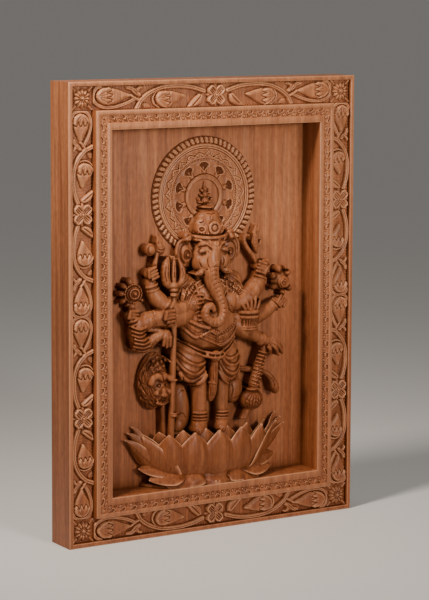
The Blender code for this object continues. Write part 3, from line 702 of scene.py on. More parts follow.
def bead_heights(reach):
    """Heights of the band along one rail, from mitre to mitre; outward is positive."""
    half = BEAD_BAND_WIDTH / 2
    rows = int(round(reach / BEAD_STEP)) + 1
    columns = int(round(BEAD_BAND_WIDTH / BEAD_STEP)) + 1
    run, side = np.meshgrid(np.linspace(0, reach, rows), np.linspace(-half, half, columns), indexing="ij")
    across = side / half
    turn = (run - reach / 2) / BEAD_PITCH
    to_scoop = (turn - np.round(turn)) * BEAD_PITCH
    to_bead = (turn - np.floor(turn) - 0.5) * BEAD_PITCH
    height = np.full(run.shape, 0.62 * BEAD_RELIEF)
    scoop = np.hypot(to_scoop / (2.6 * MM), (across - 0.62) / 0.62)
    height = height + 0.38 * BEAD_RELIEF * np.exp(-(((scoop - 1.0) / 0.22) ** 2))
    height = height - 1.25 * BEAD_RELIEF * np.clip(1 - scoop**2, 0, 1)
    inner = np.hypot(to_scoop / (1.5 * MM), (across + 0.6) / 0.36)
    height = height - 0.75 * BEAD_RELIEF * np.clip(1 - inner**2, 0, 1)
    for lean in (-1, 1):
        line = np.abs(to_scoop - lean * (2.0 * MM + 1.1 * MM * (across + 0.2)))
        held = (across < 0.15) & (across > -0.95)
        height = height - 0.5 * BEAD_RELIEF * np.exp(-((line / (0.42 * MM)) ** 2)) * held
    bead = np.hypot(to_bead / (1.35 * MM), (across + 0.45) / 0.42)
    height = np.where(bead < 1, np.maximum(height, 1.05 * BEAD_RELIEF * np.sqrt(np.clip(1 - bead**2, 0,
        1))), height)
    height = height - 0.45 * BEAD_RELIEF * np.exp(-(((bead - 1.12) / 0.16) ** 2))
    return np.clip(height, 0.02 * BEAD_RELIEF, None), run, side


def lay_bead_rail(name, upright, side):
    long_size = PANEL_HEIGHT if upright else PANEL_WIDTH
    wide_size = PANEL_WIDTH if upright else PANEL_HEIGHT
    middle = (BEAD_OUTER + BEAD_INNER) / 2
    reach = long_size - 2 * BEAD_OUTER
    height, run, out = bead_heights(reach)
    mitre = np.clip((BEAD_BAND_WIDTH / 2 - out) / BEAD_BAND_WIDTH, 0, 1) * BEAD_BAND_WIDTH
    squeezed = mitre + run * (reach - 2 * mitre) / reach

    def top(level):
        low = BEAD_OUTER + squeezed
        edge = side * (wide_size / 2 - middle + out)
        level = BEAD_FLOOR - level
        if upright:
            return np.stack([edge, level, low], axis=-1)
        return np.stack([low - PANEL_WIDTH / 2, level, PANEL_HEIGHT / 2 + edge], axis=-1)

    wear_and_shade = hollow_marks(height, BEAD_STEP, 1.6 * MM, 0.9) + 0.08
    relief_piece(name, top, height, 0.4 * STRIP_ROOT, wear_and_shade)


lay_bead_rail("beads_left", True, -1)
lay_bead_rail("beads_right", True, 1)
lay_bead_rail("beads_top", False, 1)
lay_bead_rail("beads_bottom", False, -1)


# The halo: a round dish left standing on the recess floor behind the head. It has a cabled
# rim, two fine lines, a band of scrolling leaves, a ring of small beads and ten scooped
# pockets on stalks round a raised ring, against whose plain disc the crown's finial stands.

HALO_RADIUS = 0.0542
HALO_RELIEF = 0.0036
HALO_UP = 0.8
HALO_LOBES = 64
HALO_POCKETS = 10
HALO_RINGS = 110
HALO_SPOKES = 504


def figure_place(across, up, out):
    """Shares of the opening's height across and up, and of the recess's depth out."""
    x = np.asarray(across) * OPENING_HEIGHT
    y = RECESS_FACE - np.asarray(out) * RECESS_DEPTH
    z = END_MARGIN + np.asarray(up) * OPENING_HEIGHT
    return np.stack(np.broadcast_arrays(x, y, z), axis=-1)


def halo_heights():
    radius = np.linspace(0.6 * MM, HALO_RADIUS, HALO_RINGS)
    angle = np.linspace(0, 2 * math.pi, HALO_SPOKES, endpoint=False)
    r, turn = np.meshgrid(radius, angle, indexing="ij")
    mm = r / MM
    height = np.full(r.shape, 0.62 * HALO_RELIEF)

    def bell(value, width):
        return np.exp(-((value / width) ** 2))

    def teeth(count, phase=0.0):
        share = turn * count / (2 * math.pi) + phase
        return 2 * np.abs(2 * (share - np.floor(share + 0.5))) - 1

    lobe = turn * HALO_LOBES / (2 * math.pi)
    beside = (lobe - np.floor(lobe) - 0.5) * 2 * math.pi * r / HALO_LOBES / MM
    beside = beside + 0.25 * (mm - 50.5)
    past = np.clip(np.maximum(49.4 - mm, mm - 51.9), 0, None)
    loop = np.hypot(beside, past) / 1.75
    cable = HALO_RELIEF * (0.14 + 0.9 * np.sqrt(np.clip(1 - loop**2, 0, 1))) - 0.7 * MM * bell(loop, 0.26)
    height = np.where(mm > 47.0, cable, height)
    height = height + 1.0 * MM * bell(mm - 46.0, 0.7) - 1.0 * MM * bell(mm - 47.2, 0.4)
    for line in (44.9, 43.1):
        height = height - 1.0 * MM * bell(mm - line, 0.34)
    height = height + 0.5 * MM * bell(mm - 44.0, 0.6)
    wander = 0.6 * np.sin(5 * turn + 1) + 0.5 * np.sin(13 * turn)
    edge = 38.9 + 2.5 * teeth(23) * (0.8 + 0.3 * np.sin(7 * turn)) + wander
    height = height - 1.7 * MM * bell(mm - edge, 0.46) * (np.abs(mm - 38.6) < 4.2)
    height = height + 0.55 * MM * np.clip((edge - mm) / 0.8, 0, 1) * (mm > 34.4)
    vein = 36.6 + 1.1 * teeth(46, 0.3) + 0.6 * np.sin(11 * turn)
    height = height - 0.8 * MM * bell(mm - vein, 0.34)
    share = turn * 23 / (2 * math.pi)
    middle = (share - np.floor(share) - 0.5) * 2 * math.pi * r / 23 / MM
    height = height - 0.7 * MM * bell(middle - 0.8 * np.sin(mm), 0.34) * (mm > 37.2) * (mm < edge)
    dots = np.cos(126 * turn)
    height = height + 0.75 * MM * bell(mm - 32.9, 0.6) * np.clip(dots + 0.3, 0,
        1) - 0.5 * MM * bell(mm - 32.9, 0.9)
    step = 2 * math.pi / HALO_POCKETS
    near = (turn / step - np.round(turn / step)) * step
    sideways = near * r / MM
    upward = mm * np.cos(near) - 28.0 + 0.035 * sideways**2
    spread = np.clip(4.4 + 0.62 * upward, 1.6, 6.0)
    pocket = np.hypot(sideways / spread, upward / np.where(upward > 0, 2.7, 5.0))
    height = np.where(pocket < 1, (0.5 - 0.48 * np.clip(1 - pocket**2, 0, 1) ** 0.3) * HALO_RELIEF, height)
    height = height + 0.4 * MM * bell(pocket - 1.28, 0.16) * (mm > 19)
    stalk = (mm > 18.5) & (mm < 26.5)
    height = height + 0.8 * MM * stalk * bell(sideways,
        1.1) - 0.8 * MM * stalk * bell(np.abs(sideways) - 2.4, 0.5)
    ring = np.clip(1 - ((mm - 17.6) / 2.0) ** 2, 0, 1)
    height = np.maximum(height - 0.6 * MM * bell(mm - 20.2, 0.5),
        (0.55 + 0.55 * np.sqrt(ring)) * HALO_RELIEF * (ring > 0))
    height = np.where(mm < 15.8, 0.36 * HALO_RELIEF, height)
    return r, turn, np.clip(height, 0.06 * HALO_RELIEF, 1.12 * HALO_RELIEF)


def polar_wear_and_shade(height, radius):
    """Hollow marks on a round field, where the spokes lie wider apart further out."""
    wrapped = np.concatenate([height[:, -12:], height, height[:, :12]], axis=1)
    marks = hollow_marks(wrapped, float(radius[1] - radius[0]), 1.9 * MM, 0.75)
    return marks[:, 12:-12]


def build_halo():
    r, turn, height = halo_heights()
    # Painted shade with wax: the deep pockets and hollows outside the middle disc are darkened.
    deep = np.clip((0.34 * HALO_RELIEF - height) / (0.18 * HALO_RELIEF), 0, 1) * (r > 16.0 * MM)
    wear_and_shade = np.clip(1.8 * polar_wear_and_shade(height, r[:, 0]) + 0.12 + 0.75 * deep, -1, 1)
    centre = figure_place(0, HALO_UP, 0)
    x = centre[0] + r * np.sin(turn)
    z = centre[2] + r * np.cos(turn)
    front = np.stack([x, centre[1] - height, z], axis=-1)
    rings, spokes = height.shape
    outer = front[-1].copy()
    outer[:, 1] = centre[1] + STRIP_ROOT
    hub = np.array([[centre[0], centre[1] - float(height[0].mean()), centre[2]]])
    verts = np.vstack([front.reshape(-1, 3), outer, hub])
    index = np.arange(rings * spokes).reshape(rings, spokes)
    following = np.roll(index, -1, axis=1)
    quads = np.stack([index[:-1], following[:-1], following[1:], index[1:]], axis=-1).reshape(-1, 4)
    low = np.arange(spokes) + rings * spokes
    wall = np.stack([index[-1], following[-1], np.roll(low, -1), low], axis=-1)
    middle = rings * spokes + spokes
    cap = [[middle, int(b), int(a)] for a, b in zip(index[0], following[0])]
    faces = quads[:, ::-1].tolist() + wall[:, ::-1].tolist() + cap + [low.tolist()]
    faces = [face[::-1] for face in faces]
    marks = np.concatenate([wear_and_shade.reshape(-1), np.full(spokes, 0.8), [0.2]])
    wooden_piece("halo", verts.tolist(), faces, marks)


build_halo()


# The lotus that the figure stands on: two rows of upright cupped petals in a half bowl over
# a saucer of spreading petals that rests on the recess floor. Each petal is hollowed thin
# towards its edge, and its edge is rubbed pale with a painted highlight; its base, sides and
# back are darkened with painted shade.

BOWL_HALF_WIDTH = 0.195
BOWL_OUT = 0.84
PETAL_ROWS = 22
PETAL_COLUMNS = 15


def bowl_place(angle, spread, up):
    return figure_place(np.sin(angle) * spread * BOWL_HALF_WIDTH, up, np.cos(angle) * spread * BOWL_OUT)


def cupped_petal(angle, route, half_width, cup, curl, thick, lift):
    """A petal's corners and its wear_and_shade values: a curved shell along a route of spreads and heights.
    """
    line = smooth_route(route, step=0.02)
    places = bowl_place(angle, line[:, 0], line[:, 1])
    known = np.concatenate([[0], np.cumsum(np.linalg.norm(np.diff(places, axis=0), axis=1))])
    known = known / known[-1]
    share = np.linspace(0, 1, PETAL_ROWS)
    spread = np.interp(share, known, line[:, 0])
    up = np.interp(share, known, line[:, 1])
    spine = bowl_place(angle, spread, up)
    tangent = bowl_place(angle + 0.02, 1.0, 0.1) - bowl_place(angle - 0.02, 1.0, 0.1)
    tangent = tangent / np.linalg.norm(tangent)
    along = np.gradient(spine, axis=0)
    along = along / np.linalg.norm(along, axis=1, keepdims=True)
    outward = np.cross(along, tangent)
    outward = outward * np.sign(-outward[:, 1:2] + 1e-9) if abs(angle) < 1.2 else outward
    if abs(angle) >= 1.2:
        outward = outward * np.sign(outward[:, :1] * math.sin(angle) + 1e-9)
    swell = np.where(share < 0.48, 0.34 + 0.66 * np.sin(math.pi * share / 0.96), 1.0)
    point = np.clip(1 - (np.clip(share - 0.46, 0, 0.54) / 0.54) ** 1.75, 0.015, 1)
    width = half_width * OPENING_HEIGHT * swell * point
    swell = swell * np.clip(point, 0.12, 1) ** 0.5
    t = np.linspace(-1, 1, PETAL_COLUMNS)
    bend = cup * OPENING_HEIGHT * (1 - t[None, :] ** 2) * swell[:, None]
    bend = bend + (lift + curl * np.clip(share - 0.72, 0, 1)[:, None] ** 1.5) * OPENING_HEIGHT
    shell = spine[:, None, :] + tangent * (t[None, :, None] * width[:, None, None])
    outer = shell + outward[:, None, :] * bend[:, :, None]
    edge = np.clip(1 - np.abs(t) ** 6, 0.25, 1)[None, :] * np.clip((1 - share) / 0.06, 0.25, 1)[:, None]
    inner = outer - outward[:, None, :] * (thick * OPENING_HEIGHT * edge)[:, :, None]
    rim = np.maximum(np.abs(t)[None, :] ** 10, (share[:, None] ** 26))
    low = np.clip(1 - share / 0.2, 0, 1)[:, None]
    # Darker at the base and towards the sides where petals meet, as painted shade, and pale at the rim,
    # rubbed and with a painted highlight.
    wear_and_shade = 0.36 + 0.45 * low - 1.1 * rim * (1 - low) + 0.42 * np.abs(t)[None, :] ** 3 * (1 - rim)
    return outer, inner, wear_and_shade


def shell_faces(rows, columns, start, flip):
    index = np.arange(rows * columns).reshape(rows, columns) + start
    other = index + rows * columns
    front = np.stack([index[:-1, :-1], index[:-1, 1:], index[1:, 1:], index[1:, :-1]],
        axis=-1).reshape(-1, 4)
    back = np.stack([other[:-1, :-1], other[1:, :-1], other[1:, 1:], other[:-1, 1:]], axis=-1).reshape(-1,
        4)
    rim = np.concatenate([index[0, :-1], index[:-1, -1], index[-1, :0:-1], index[:0:-1, 0]])
    following = np.roll(rim, -1)
    side = np.stack([following, rim, rim + rows * columns, following + rows * columns], axis=-1)
    faces = np.vstack([front, back, side])
    return faces[:, ::-1] if flip else faces


def build_petals(name, petals):
    verts = []
    wear_and_shade = []
    faces = []
    start = 0
    for petal in petals:
        outer, inner, mark = petal
        count = outer.shape[0] * outer.shape[1]
        outer = outer.copy()
        outer[..., 1] = np.clip(outer[..., 1], FRONT + 0.2 * MM, RECESS_FACE + 0.4 * MM)
        inner[..., 1] = np.clip(inner[..., 1], outer[..., 1] + 0.15 * MM, None)
        both = np.vstack([outer.reshape(-1, 3), inner.reshape(-1, 3)])
        verts.append(both)
        # The back of each petal is darkened further, as painted shade.
        wear_and_shade.append(np.concatenate([mark.reshape(-1), mark.reshape(-1) + 0.25]))
        a, b, c = outer[8, 7], outer[8, 8], outer[9, 7]
        facing = np.dot(np.cross(b - a, c - a), outer[8, 7] - inner[8, 7])
        faces.append(shell_faces(outer.shape[0], outer.shape[1], start, facing < 0))
        start += 2 * count
    wooden_piece(name, np.vstack(verts).tolist(), np.vstack(faces).tolist(), np.concatenate(wear_and_shade), 70)


def spread_petal(route, half_width, cup, thick, face):
    """A petal that shows its broad side: corners and wear_and_shade values along a route in figure shares.
    """
    line = smooth_route(route, step=0.006)
    places = figure_place(line[:, 0], line[:, 1], line[:, 2])
    known = np.concatenate([[0], np.cumsum(np.linalg.norm(np.diff(places, axis=0), axis=1))])
    share = np.linspace(0, 1, PETAL_ROWS)
    spine = np.stack([np.interp(share, known / known[-1], places[:, axis]) for axis in range(3)], axis=-1)
    along = np.gradient(spine, axis=0)
    along = along / np.linalg.norm(along, axis=1, keepdims=True)
    tangent = np.cross(along, np.asarray(face))
    tangent = tangent / np.linalg.norm(tangent, axis=1, keepdims=True)
    outward = np.cross(tangent, along)
    swell = 0.55 + 0.45 * np.sin(math.pi * np.clip(share / 0.9, 0, 0.5))
    point = np.clip(1 - (np.clip(share - 0.42, 0, 0.58) / 0.58) ** 1.8, 0.015, 1)
    width = half_width * OPENING_HEIGHT * swell * point
    t = np.linspace(-1, 1, PETAL_COLUMNS)
    bend = cup * OPENING_HEIGHT * (1 - t[None, :] ** 2) * np.clip(point, 0.12, 1)[:, None] ** 0.5
    shell = spine[:, None, :] + tangent[:, None, :] * (t[None, :, None] * width[:, None, None])
    outer = shell + outward[:, None, :] * bend[:, :, None]
    edge = np.clip(1 - np.abs(t) ** 6, 0.25, 1)[None, :] * np.clip((1 - share) / 0.06, 0.25, 1)[:, None]
    inner = outer - outward[:, None, :] * (thick * OPENING_HEIGHT * edge)[:, :, None]
    rim = np.maximum(np.abs(t)[None, :] ** 10, (share[:, None] ** 26))
    low = np.clip(1 - share / 0.35, 0, 1)[:, None]
    vein = np.exp(-((t[None, :] / 0.09) ** 2)) * np.clip(share[:, None] / 0.3, 0, 1)
    # Darker at the base and towards the sides as painted shade, pale at the rim as rubbing with a painted
    # highlight, and darker along the middle vein.
    wear_and_shade = 0.26 + 0.55 * low - 1.1 * rim * (1 - low) + 0.42 * np.abs(t)[None,
        :] ** 3 * (1 - rim) + 0.3 * vein
    return outer, inner, wear_and_shade


def lotus_petals():
    front_row = []
    step = math.radians(23)
    for index in (-3, 3, -2, 2, -1, 1, 0):
        angle = index * step + math.radians(3)
        lean = abs(math.sin(angle)) ** 3
        route = (
            (0.5, 0.01),
            (0.82 + 0.02 * lean, 0.028),
            (0.97 + 0.06 * lean, 0.072 + 0.01 * lean),
            (1.0 + 0.14 * lean, 0.112 + 0.006 * lean),
            (0.97 + 0.3 * lean, 0.15 - 0.002 * lean),
        )
        front_row.append((angle, route, 0.067, 0.0165, 0.016, 0.006, 0.0032 - 0.0016 * abs(index)))
    back_row = []
    for index in range(-4, 4):
        angle = (index + 0.5) * step + math.radians(3)
        if abs(angle) > 1.45:
            continue
        lean = abs(math.sin(angle)) ** 3
        route = (
            (0.5, 0.05),
            (0.74, 0.072),
            (0.88 + 0.05 * lean, 0.105),
            (0.91 + 0.15 * lean, 0.135),
            (0.9 + 0.28 * lean, 0.157),
        )
        back_row.append((angle, route, 0.05, 0.007, 0.006, 0.006, -0.002))
    return front_row, back_row


def build_lotus():
    front_row, back_row = lotus_petals()
    ends = []
    for side in (-1, 1):
        rise = -0.002 * side
        for shift, high, far, out in ((0.0, 0.0, 0.0, 0.3), (0.004, 0.02, -0.01, 0.26),
                (0.012, 0.036, -0.026, 0.22)):
            route = (
                (side * (0.1 + shift), 0.04 + 0.4 * high, out - 0.02),
                (side * (0.16 + shift), 0.058 + 0.6 * high, out + 0.02),
                (side * (0.205 + 0.5 * shift), 0.09 + 0.9 * high, out + 0.03),
                (side * (0.236 + 0.5 * far), 0.12 + high + rise, out - 0.02),
                (side * (0.262 + far), 0.139 + 0.9 * high + rise, out - 0.08),
            )
            ends.append(spread_petal(route, 0.029, 0.009, 0.006, (side * 0.45, -0.85, -0.3)))
    build_petals("lotus_outer_petals", [cupped_petal(*petal) for petal in front_row])
    build_petals("lotus_inner_petals", [cupped_petal(*petal) for petal in back_row])
    build_petals("lotus_end_petals", ends)
    saucer = []
    spots = (
        (0.158, 0.01, 0.62, 0.05),
        (0.056, 0.001, 0.82, 0.054),
        (0.224, 0.056, 0.32, 0.036),
        (0.2, 0.024, 0.54, 0.046),
        (0.108, 0.008, 0.79, 0.056),
        (0.004, 0.002, 0.86, 0.064),
    )
    for index, (reach, rise, out, wide) in enumerate(spots):
        for side in (-1, 1) if reach > 0.01 else (-1,):
            x = side * reach
            layer = 0.0025 * index - 0.004
            route = (
                (0.42 * x, 0.04 + 0.35 * rise, 0.34 + 0.3 * out),
                (0.64 * x, 0.027 + 0.48 * rise + layer, 0.2 + 0.62 * out),
                (0.85 * x, 0.01 + 0.76 * rise + layer, 0.1 + 0.84 * out),
                (x, rise, out),
            )
            saucer.append(spread_petal(route, wide, 0.0065, 0.006, (side * reach, -0.66, 0.72)))
    build_petals("lotus_saucer", saucer)
    for name, wide, deep, middle, half in (("lotus_heart", 0.168, 0.74, 0.082, 0.058),
            ("lotus_foot", 0.205, 0.965, 0.004, 0.014)):
        rows = 24
        columns = 48
        level = np.linspace(-math.pi / 2, math.pi / 2, rows)
        turn = np.linspace(0, 2 * math.pi, columns, endpoint=False)
        a, b = np.meshgrid(level, turn, indexing="ij")
        flat = np.sign(np.sin(a)) * np.abs(np.sin(a)) ** 0.6
        body = figure_place(wide * np.cos(a) * np.sin(b), middle + half * flat,
            deep * np.cos(a) * np.cos(b))
        body[..., 1] = np.minimum(body[..., 1], RECESS_FACE + 0.8 * MM)
        body[..., 2] = np.maximum(body[..., 2], END_MARGIN - 0.4 * MM - 0.2 * MM * (a + 1.6))
        index = np.arange(rows * columns).reshape(rows, columns) - columns
        following = np.roll(index, -1, axis=1)
        quads = np.stack([following[1:-2], following[2:-1], index[2:-1], index[1:-2]],
            axis=-1).reshape(-1, 4)
        faces = quads.tolist() + [index[1][::-1].tolist(), index[-2].tolist()]
        used = body[1:-1].reshape(-1, 3)
        wooden_piece(name, used.tolist(), faces, np.full(len(used), 0.45), 60)


build_lotus()


# The body with its dress and the head with its crown: cut in the round from the same block as
# everything behind it, and undercut, with a web of wood left behind. Rounded forms come first,
# then cords, beads and cuts laid on the surface they are carved into, and then the skin.

CARVING_STEP = 0.00055
SMALLEST_BODY = 600
FIGURE_TRIANGLES = 160000
FIGURE_DARKENING = 0.03


class Carving:
    """Distances to the carved surface over a block of wood, negative inside the wood."""

    def __init__(self, low, high, step):
        self.step = step
        self.low = np.array([low[0] * OPENING_HEIGHT, FRONT + 0.15 * MM,
            END_MARGIN + low[1] * OPENING_HEIGHT])
        top = np.array([high[0] * OPENING_HEIGHT, RECESS_FACE + 1.6 * MM,
            END_MARGIN + high[1] * OPENING_HEIGHT])
        self.shape = tuple(int(math.ceil(size / step)) + 1 for size in top - self.low)
        self.axes = [self.low[axis] + np.arange(self.shape[axis]) * step for axis in range(3)]
        self.field = np.full(self.shape, 0.004, dtype=np.float32)
        self.front = None

    def window(self, low, high):
        """The slices and places of the part of the block between two corners."""
        spans = []
        for axis in range(3):
            first = max(0, int((low[axis] - self.low[axis]) / self.step))
            last = min(self.shape[axis], int((high[axis] - self.low[axis]) / self.step) + 2)
            if last <= first:
                return None, (None, None, None)
            spans.append(slice(first, last))
        x = self.axes[0][spans[0]][:, None, None]
        y = self.axes[1][spans[1]][None, :, None]
        z = self.axes[2][spans[2]][None, None, :]
        return tuple(spans), (x, y, z)

    def add(self, spans, distance, blend):
        """Leaves more wood, melting into what is there over the blend."""
        held = self.field[spans]
        if blend > 0:
            mix = np.clip(0.5 + 0.5 * (held - distance) / blend, 0, 1)
            merged = held * (1 - mix) + distance * mix - blend * mix * (1 - mix)
        else:
            merged = np.minimum(held, distance)
        self.field[spans] = merged

    def cut(self, spans, distance, blend):
        """Takes wood away, with its lip rounded over the blend."""
        held = self.field[spans]
        if blend > 0:
            mix = np.clip(0.5 - 0.5 * (held + distance) / blend, 0, 1)
            merged = held * (1 - mix) - distance * mix + blend * mix * (1 - mix)
        else:
            merged = np.maximum(held, -distance)
        self.field[spans] = merged

    def ball(self, across, up, out, radii, tilt=0.0, blend=1.0, hollow=False, web=0.0):
        """An egg of the given half sizes, leaned in the picture plane, with a web behind."""
        centre = figure_place(across, up, out)
        rx = radii[0] * OPENING_HEIGHT
        ry = radii[1] * RECESS_DEPTH
        rz = radii[2] * OPENING_HEIGHT
        reach = max(rx, rz) + 3 * MM
        low = centre - np.array([reach, ry + 3 * MM, reach])
        high = centre + np.array([reach, ry + 3 * MM + (RECESS_DEPTH if web else 0), reach])
        spans, places = self.window(low, high)
        if spans is None:
            return
        x = places[0] - centre[0]
        y = places[1] - centre[1]
        z = places[2] - centre[2]
        lean = math.radians(tilt)
        u = x * math.cos(lean) + z * math.sin(lean)
        w = -x * math.sin(lean) + z * math.cos(lean)
        size = np.sqrt((u / rx) ** 2 + (y / ry) ** 2 + (w / rz) ** 2) + 1e-9
        slope = np.sqrt((u / rx**2) ** 2 + (y / ry**2) ** 2 + (w / rz**2) ** 2) + 1e-9
        distance = size * (size - 1) / slope
        if web:
            column = (np.sqrt((u / rx) ** 2 + (w / rz) ** 2) - web) * min(rx, rz)
            distance = np.minimum(distance, np.maximum(column, -y))
        if hollow:
            self.cut(spans, distance, blend * MM)
        else:
            self.add(spans, distance, blend * MM)

    def cord(self, places, radii, blend=0.6, hollow=False, web=0.0):
        """A round-sectioned limb, cord or cut through places in metres."""
        for a, b, ra, rb in zip(places[:-1], places[1:], radii[:-1], radii[1:]):
            thick = max(ra, rb) + 2.2 * MM
            low = np.minimum(a, b) - thick
            high = np.maximum(a, b) + thick
            if web:
                high = high + np.array([0, RECESS_DEPTH, 0])
            spans, (x, y, z) = self.window(low, high)
            if spans is None:
                continue
            run = b - a
            length = run @ run + 1e-15
            t = np.clip(((x - a[0]) * run[0] + (y - a[1]) * run[1] + (z - a[2]) * run[2]) / length, 0, 1)
            dx = x - a[0] - t * run[0]
            dy = y - a[1] - t * run[1]
            dz = z - a[2] - t * run[2]
            radius = ra + (rb - ra) * t
            distance = np.sqrt(dx * dx + dy * dy + dz * dz) - radius
            if web:
                flat = run[0] ** 2 + run[2] ** 2 + 1e-15
                s = np.clip(((x - a[0]) * run[0] + (z - a[2]) * run[2]) / flat, 0, 1)
                beside = np.hypot(x - a[0] - s * run[0], z - a[2] - s * run[2]) - web * (ra + (rb - ra) * s)
                distance = np.minimum(distance, np.maximum(beside, a[1] + s * run[1] - y))
            if hollow:
                self.cut(spans, distance, blend * MM)
            else:
                self.add(spans, distance, blend * MM)

    def limb(self, route, blend=0.8, web=0.55):
        """A smooth limb through steps of across, up, out and half thickness."""
        line = smooth_route(route, step=0.008)
        places = figure_place(line[:, 0], line[:, 1], line[:, 2])
        self.cord(places, np.maximum(line[:, 3], 0.0012) * OPENING_HEIGHT, blend, web=web)

    def look(self):
        """Notes where the wood first shows from in front, for laying ornament on it."""
        inside = self.field < 0
        first = np.argmax(inside, axis=1)
        any_wood = inside.any(axis=1)
        before = np.clip(first - 1, 0, None)
        i, k = np.indices(first.shape)
        here = self.field[i, first, k]
        outer = self.field[i, before, k]
        slip = np.where(first > 0, here / (here - outer - 1e-12), 0)
        level = self.low[1] + (first - np.clip(slip, 0, 1)) * self.step
        self.front = np.where(any_wood, level, RECESS_FACE)

    def surface(self, line, calm=2):
        """Places on the surface under a flat line of across and up, evened along it."""
        flat = figure_place(line[:, 0], line[:, 1], np.zeros(len(line)))
        i = np.clip(np.round((flat[:, 0] - self.low[0]) / self.step).astype(int), 0, self.shape[0] - 1)
        k = np.clip(np.round((flat[:, 2] - self.low[2]) / self.step).astype(int), 0, self.shape[2] - 1)
        level = self.front[i, k]
        for _ in range(calm):
            padded = np.concatenate([level[:1], level, level[-1:]])
            level = (padded[:-2] + padded[1:-1] + padded[2:]) / 3
        flat[:, 1] = level
        return flat

    def trace(self, points, width, lift=0.3, hollow=False, blend=0.25):
        """A raised cord, or a cut, along a line drawn on the surface; width in mm."""
        line = np.asarray(points, dtype=float)
        if len(line) > 2:
            line = smooth_route(line, step=0.004)
        else:
            line = line[0] + (line[-1] - line[0]) * np.linspace(0, 1, 8)[:, None]
        places = self.surface(line)
        places[:, 1] -= lift * width * MM
        taper = np.ones(len(places))
        if hollow:
            taper = np.clip(np.minimum(np.arange(len(places)), np.arange(len(places))[::-1]) / 3 + 0.45,
                0, 1)
        self.cord(places, width * MM * taper, blend, hollow)

    def grooves(self, lines, width, lift=0.15):
        """Cuts along several lines drawn on the surface; width in mm."""
        for line in lines:
            self.trace(line, width, lift, True, 0.2)

    def beads(self, points, radius, pitch=2.1, lift=0.35):
        """A string of beads along a line drawn on the surface; sizes in mm."""
        line = smooth_route(points, step=0.002)
        places = self.surface(line)
        gaps = np.linalg.norm(np.diff(places[:, [0, 2]], axis=0), axis=1)
        run = np.concatenate([[0], np.cumsum(gaps)])
        count = max(2, int(run[-1] / (pitch * radius * MM)))
        for spot in np.linspace(0, run[-1], count + 1):
            place = np.array([np.interp(spot, run, places[:, axis]) for axis in range(3)])
            place[1] -= lift * radius * MM
            spans, (x, y, z) = self.window(place - 3 * radius * MM, place + 3 * radius * MM)
            if spans is not None:
                gap = np.sqrt((x - place[0]) ** 2 + (y - place[1]) ** 2 + (z - place[2]) ** 2)
                self.add(spans, gap - radius * MM, 0.1 * MM)

    def bangles(self, a, b, count, wide, thick, out):
        """Rings round a limb, as short cords across it between two places on its middle."""
        a = np.asarray(a)
        b = np.asarray(b)
        run = (b - a) / (np.linalg.norm(b - a) + 1e-9)
        beside = np.array([-run[1], run[0]])
        for index in range(count):
            middle = a + (b - a) * (index / max(1, count - 1))
            turn = np.linspace(-1.25, 1.25, 9)
            across = middle[0] + beside[0] * np.sin(turn) * wide
            up = middle[1] + beside[1] * np.sin(turn) * wide
            level = out + np.cos(turn) * wide * OPENING_HEIGHT / RECESS_DEPTH
            self.cord(figure_place(across, up, level), np.full(9, thick * MM), 0.2)

    def ring(self, across, up, radius, width, lift=0.3, hollow=False, squash=1.0):
        """A raised ring, or a round cut, drawn on the surface; width in mm."""
        turn = np.linspace(0, 2 * math.pi, 28)
        line = np.stack([across + radius * np.cos(turn), up + radius * squash * np.sin(turn)], axis=-1)
        places = self.surface(line, calm=1)
        places[:, 1] -= lift * width * MM
        self.cord(places, np.full(len(places), width * MM), 0.2, hollow)

    def skin(self):
        """The surface as points and four-sided faces, one point in each cell it crosses."""
        field = self.field
        back = self.axes[1][None, :, None] - (RECESS_FACE + 1.0 * MM)
        field = np.maximum(field, back.astype(np.float32))
        field[[0, -1]] = np.maximum(field[[0, -1]], 0.3 * self.step)
        field[:, [0, -1]] = np.maximum(field[:, [0, -1]], 0.3 * self.step)
        field[:, :, [0, -1]] = np.maximum(field[:, :, [0, -1]], 0.3 * self.step)
        inside = field < 0
        corners = [(a, b, c) for a in (0, 1) for b in (0, 1) for c in (0, 1)]
        nx, ny, nz = (size - 1 for size in field.shape)
        total = np.zeros((nx, ny, nz), dtype=np.uint8)
        for a, b, c in corners:
            total += inside[a : a + nx, b : b + ny, c : c + nz]
        cells = np.argwhere((total > 0) & (total < 8))
        values = np.stack([field[cells[:, 0] + a, cells[:, 1] + b, cells[:, 2] + c] for a, b,
            c in corners], axis=1)
        offset = np.array(corners, dtype=float)
        place = np.zeros((len(cells), 3))
        weight = np.zeros(len(cells))
        for first in range(8):
            for second in range(first + 1, 8):
                if np.abs(offset[first] - offset[second]).sum() != 1:
                    continue
                crossed = (values[:, first] < 0) != (values[:, second] < 0)
                t = values[:, first] / (values[:, first] - values[:, second] + 1e-20)
                spot = offset[first] + np.clip(t, 0, 1)[:, None] * (offset[second] - offset[first])
                place += spot * crossed[:, None]
                weight += crossed
        points = self.low + (cells + place / weight[:, None]) * self.step
        number = np.full((nx, ny, nz), -1, dtype=np.int32)
        number[tuple(cells.T)] = np.arange(len(cells))
        faces = []
        for axis in range(3):
            size = [nx, ny, nz]
            starts = [slice(1, limit) for limit in size]
            low = [slice(1, limit) for limit in size]
            starts[axis] = slice(0, size[axis])
            low[axis] = slice(1, size[axis] + 1)
            here = inside[tuple(starts)]
            there = inside[tuple(low)]
            for outward, mask in ((True, here & ~there), (False, there & ~here)):
                spots = np.argwhere(mask)
                shift = np.ones(3, dtype=int)
                shift[axis] = 0
                spots = spots + shift
                first, second = [other for other in range(3) if other != axis]
                quad = []
                for da, db in ((1, 1), (0, 1), (0, 0), (1, 0)):
                    cell = spots.copy()
                    cell[:, first] -= da
                    cell[:, second] -= db
                    quad.append(number[tuple(cell.T)])
                quad = np.stack(quad, axis=-1)
                turned = outward if axis != 1 else not outward
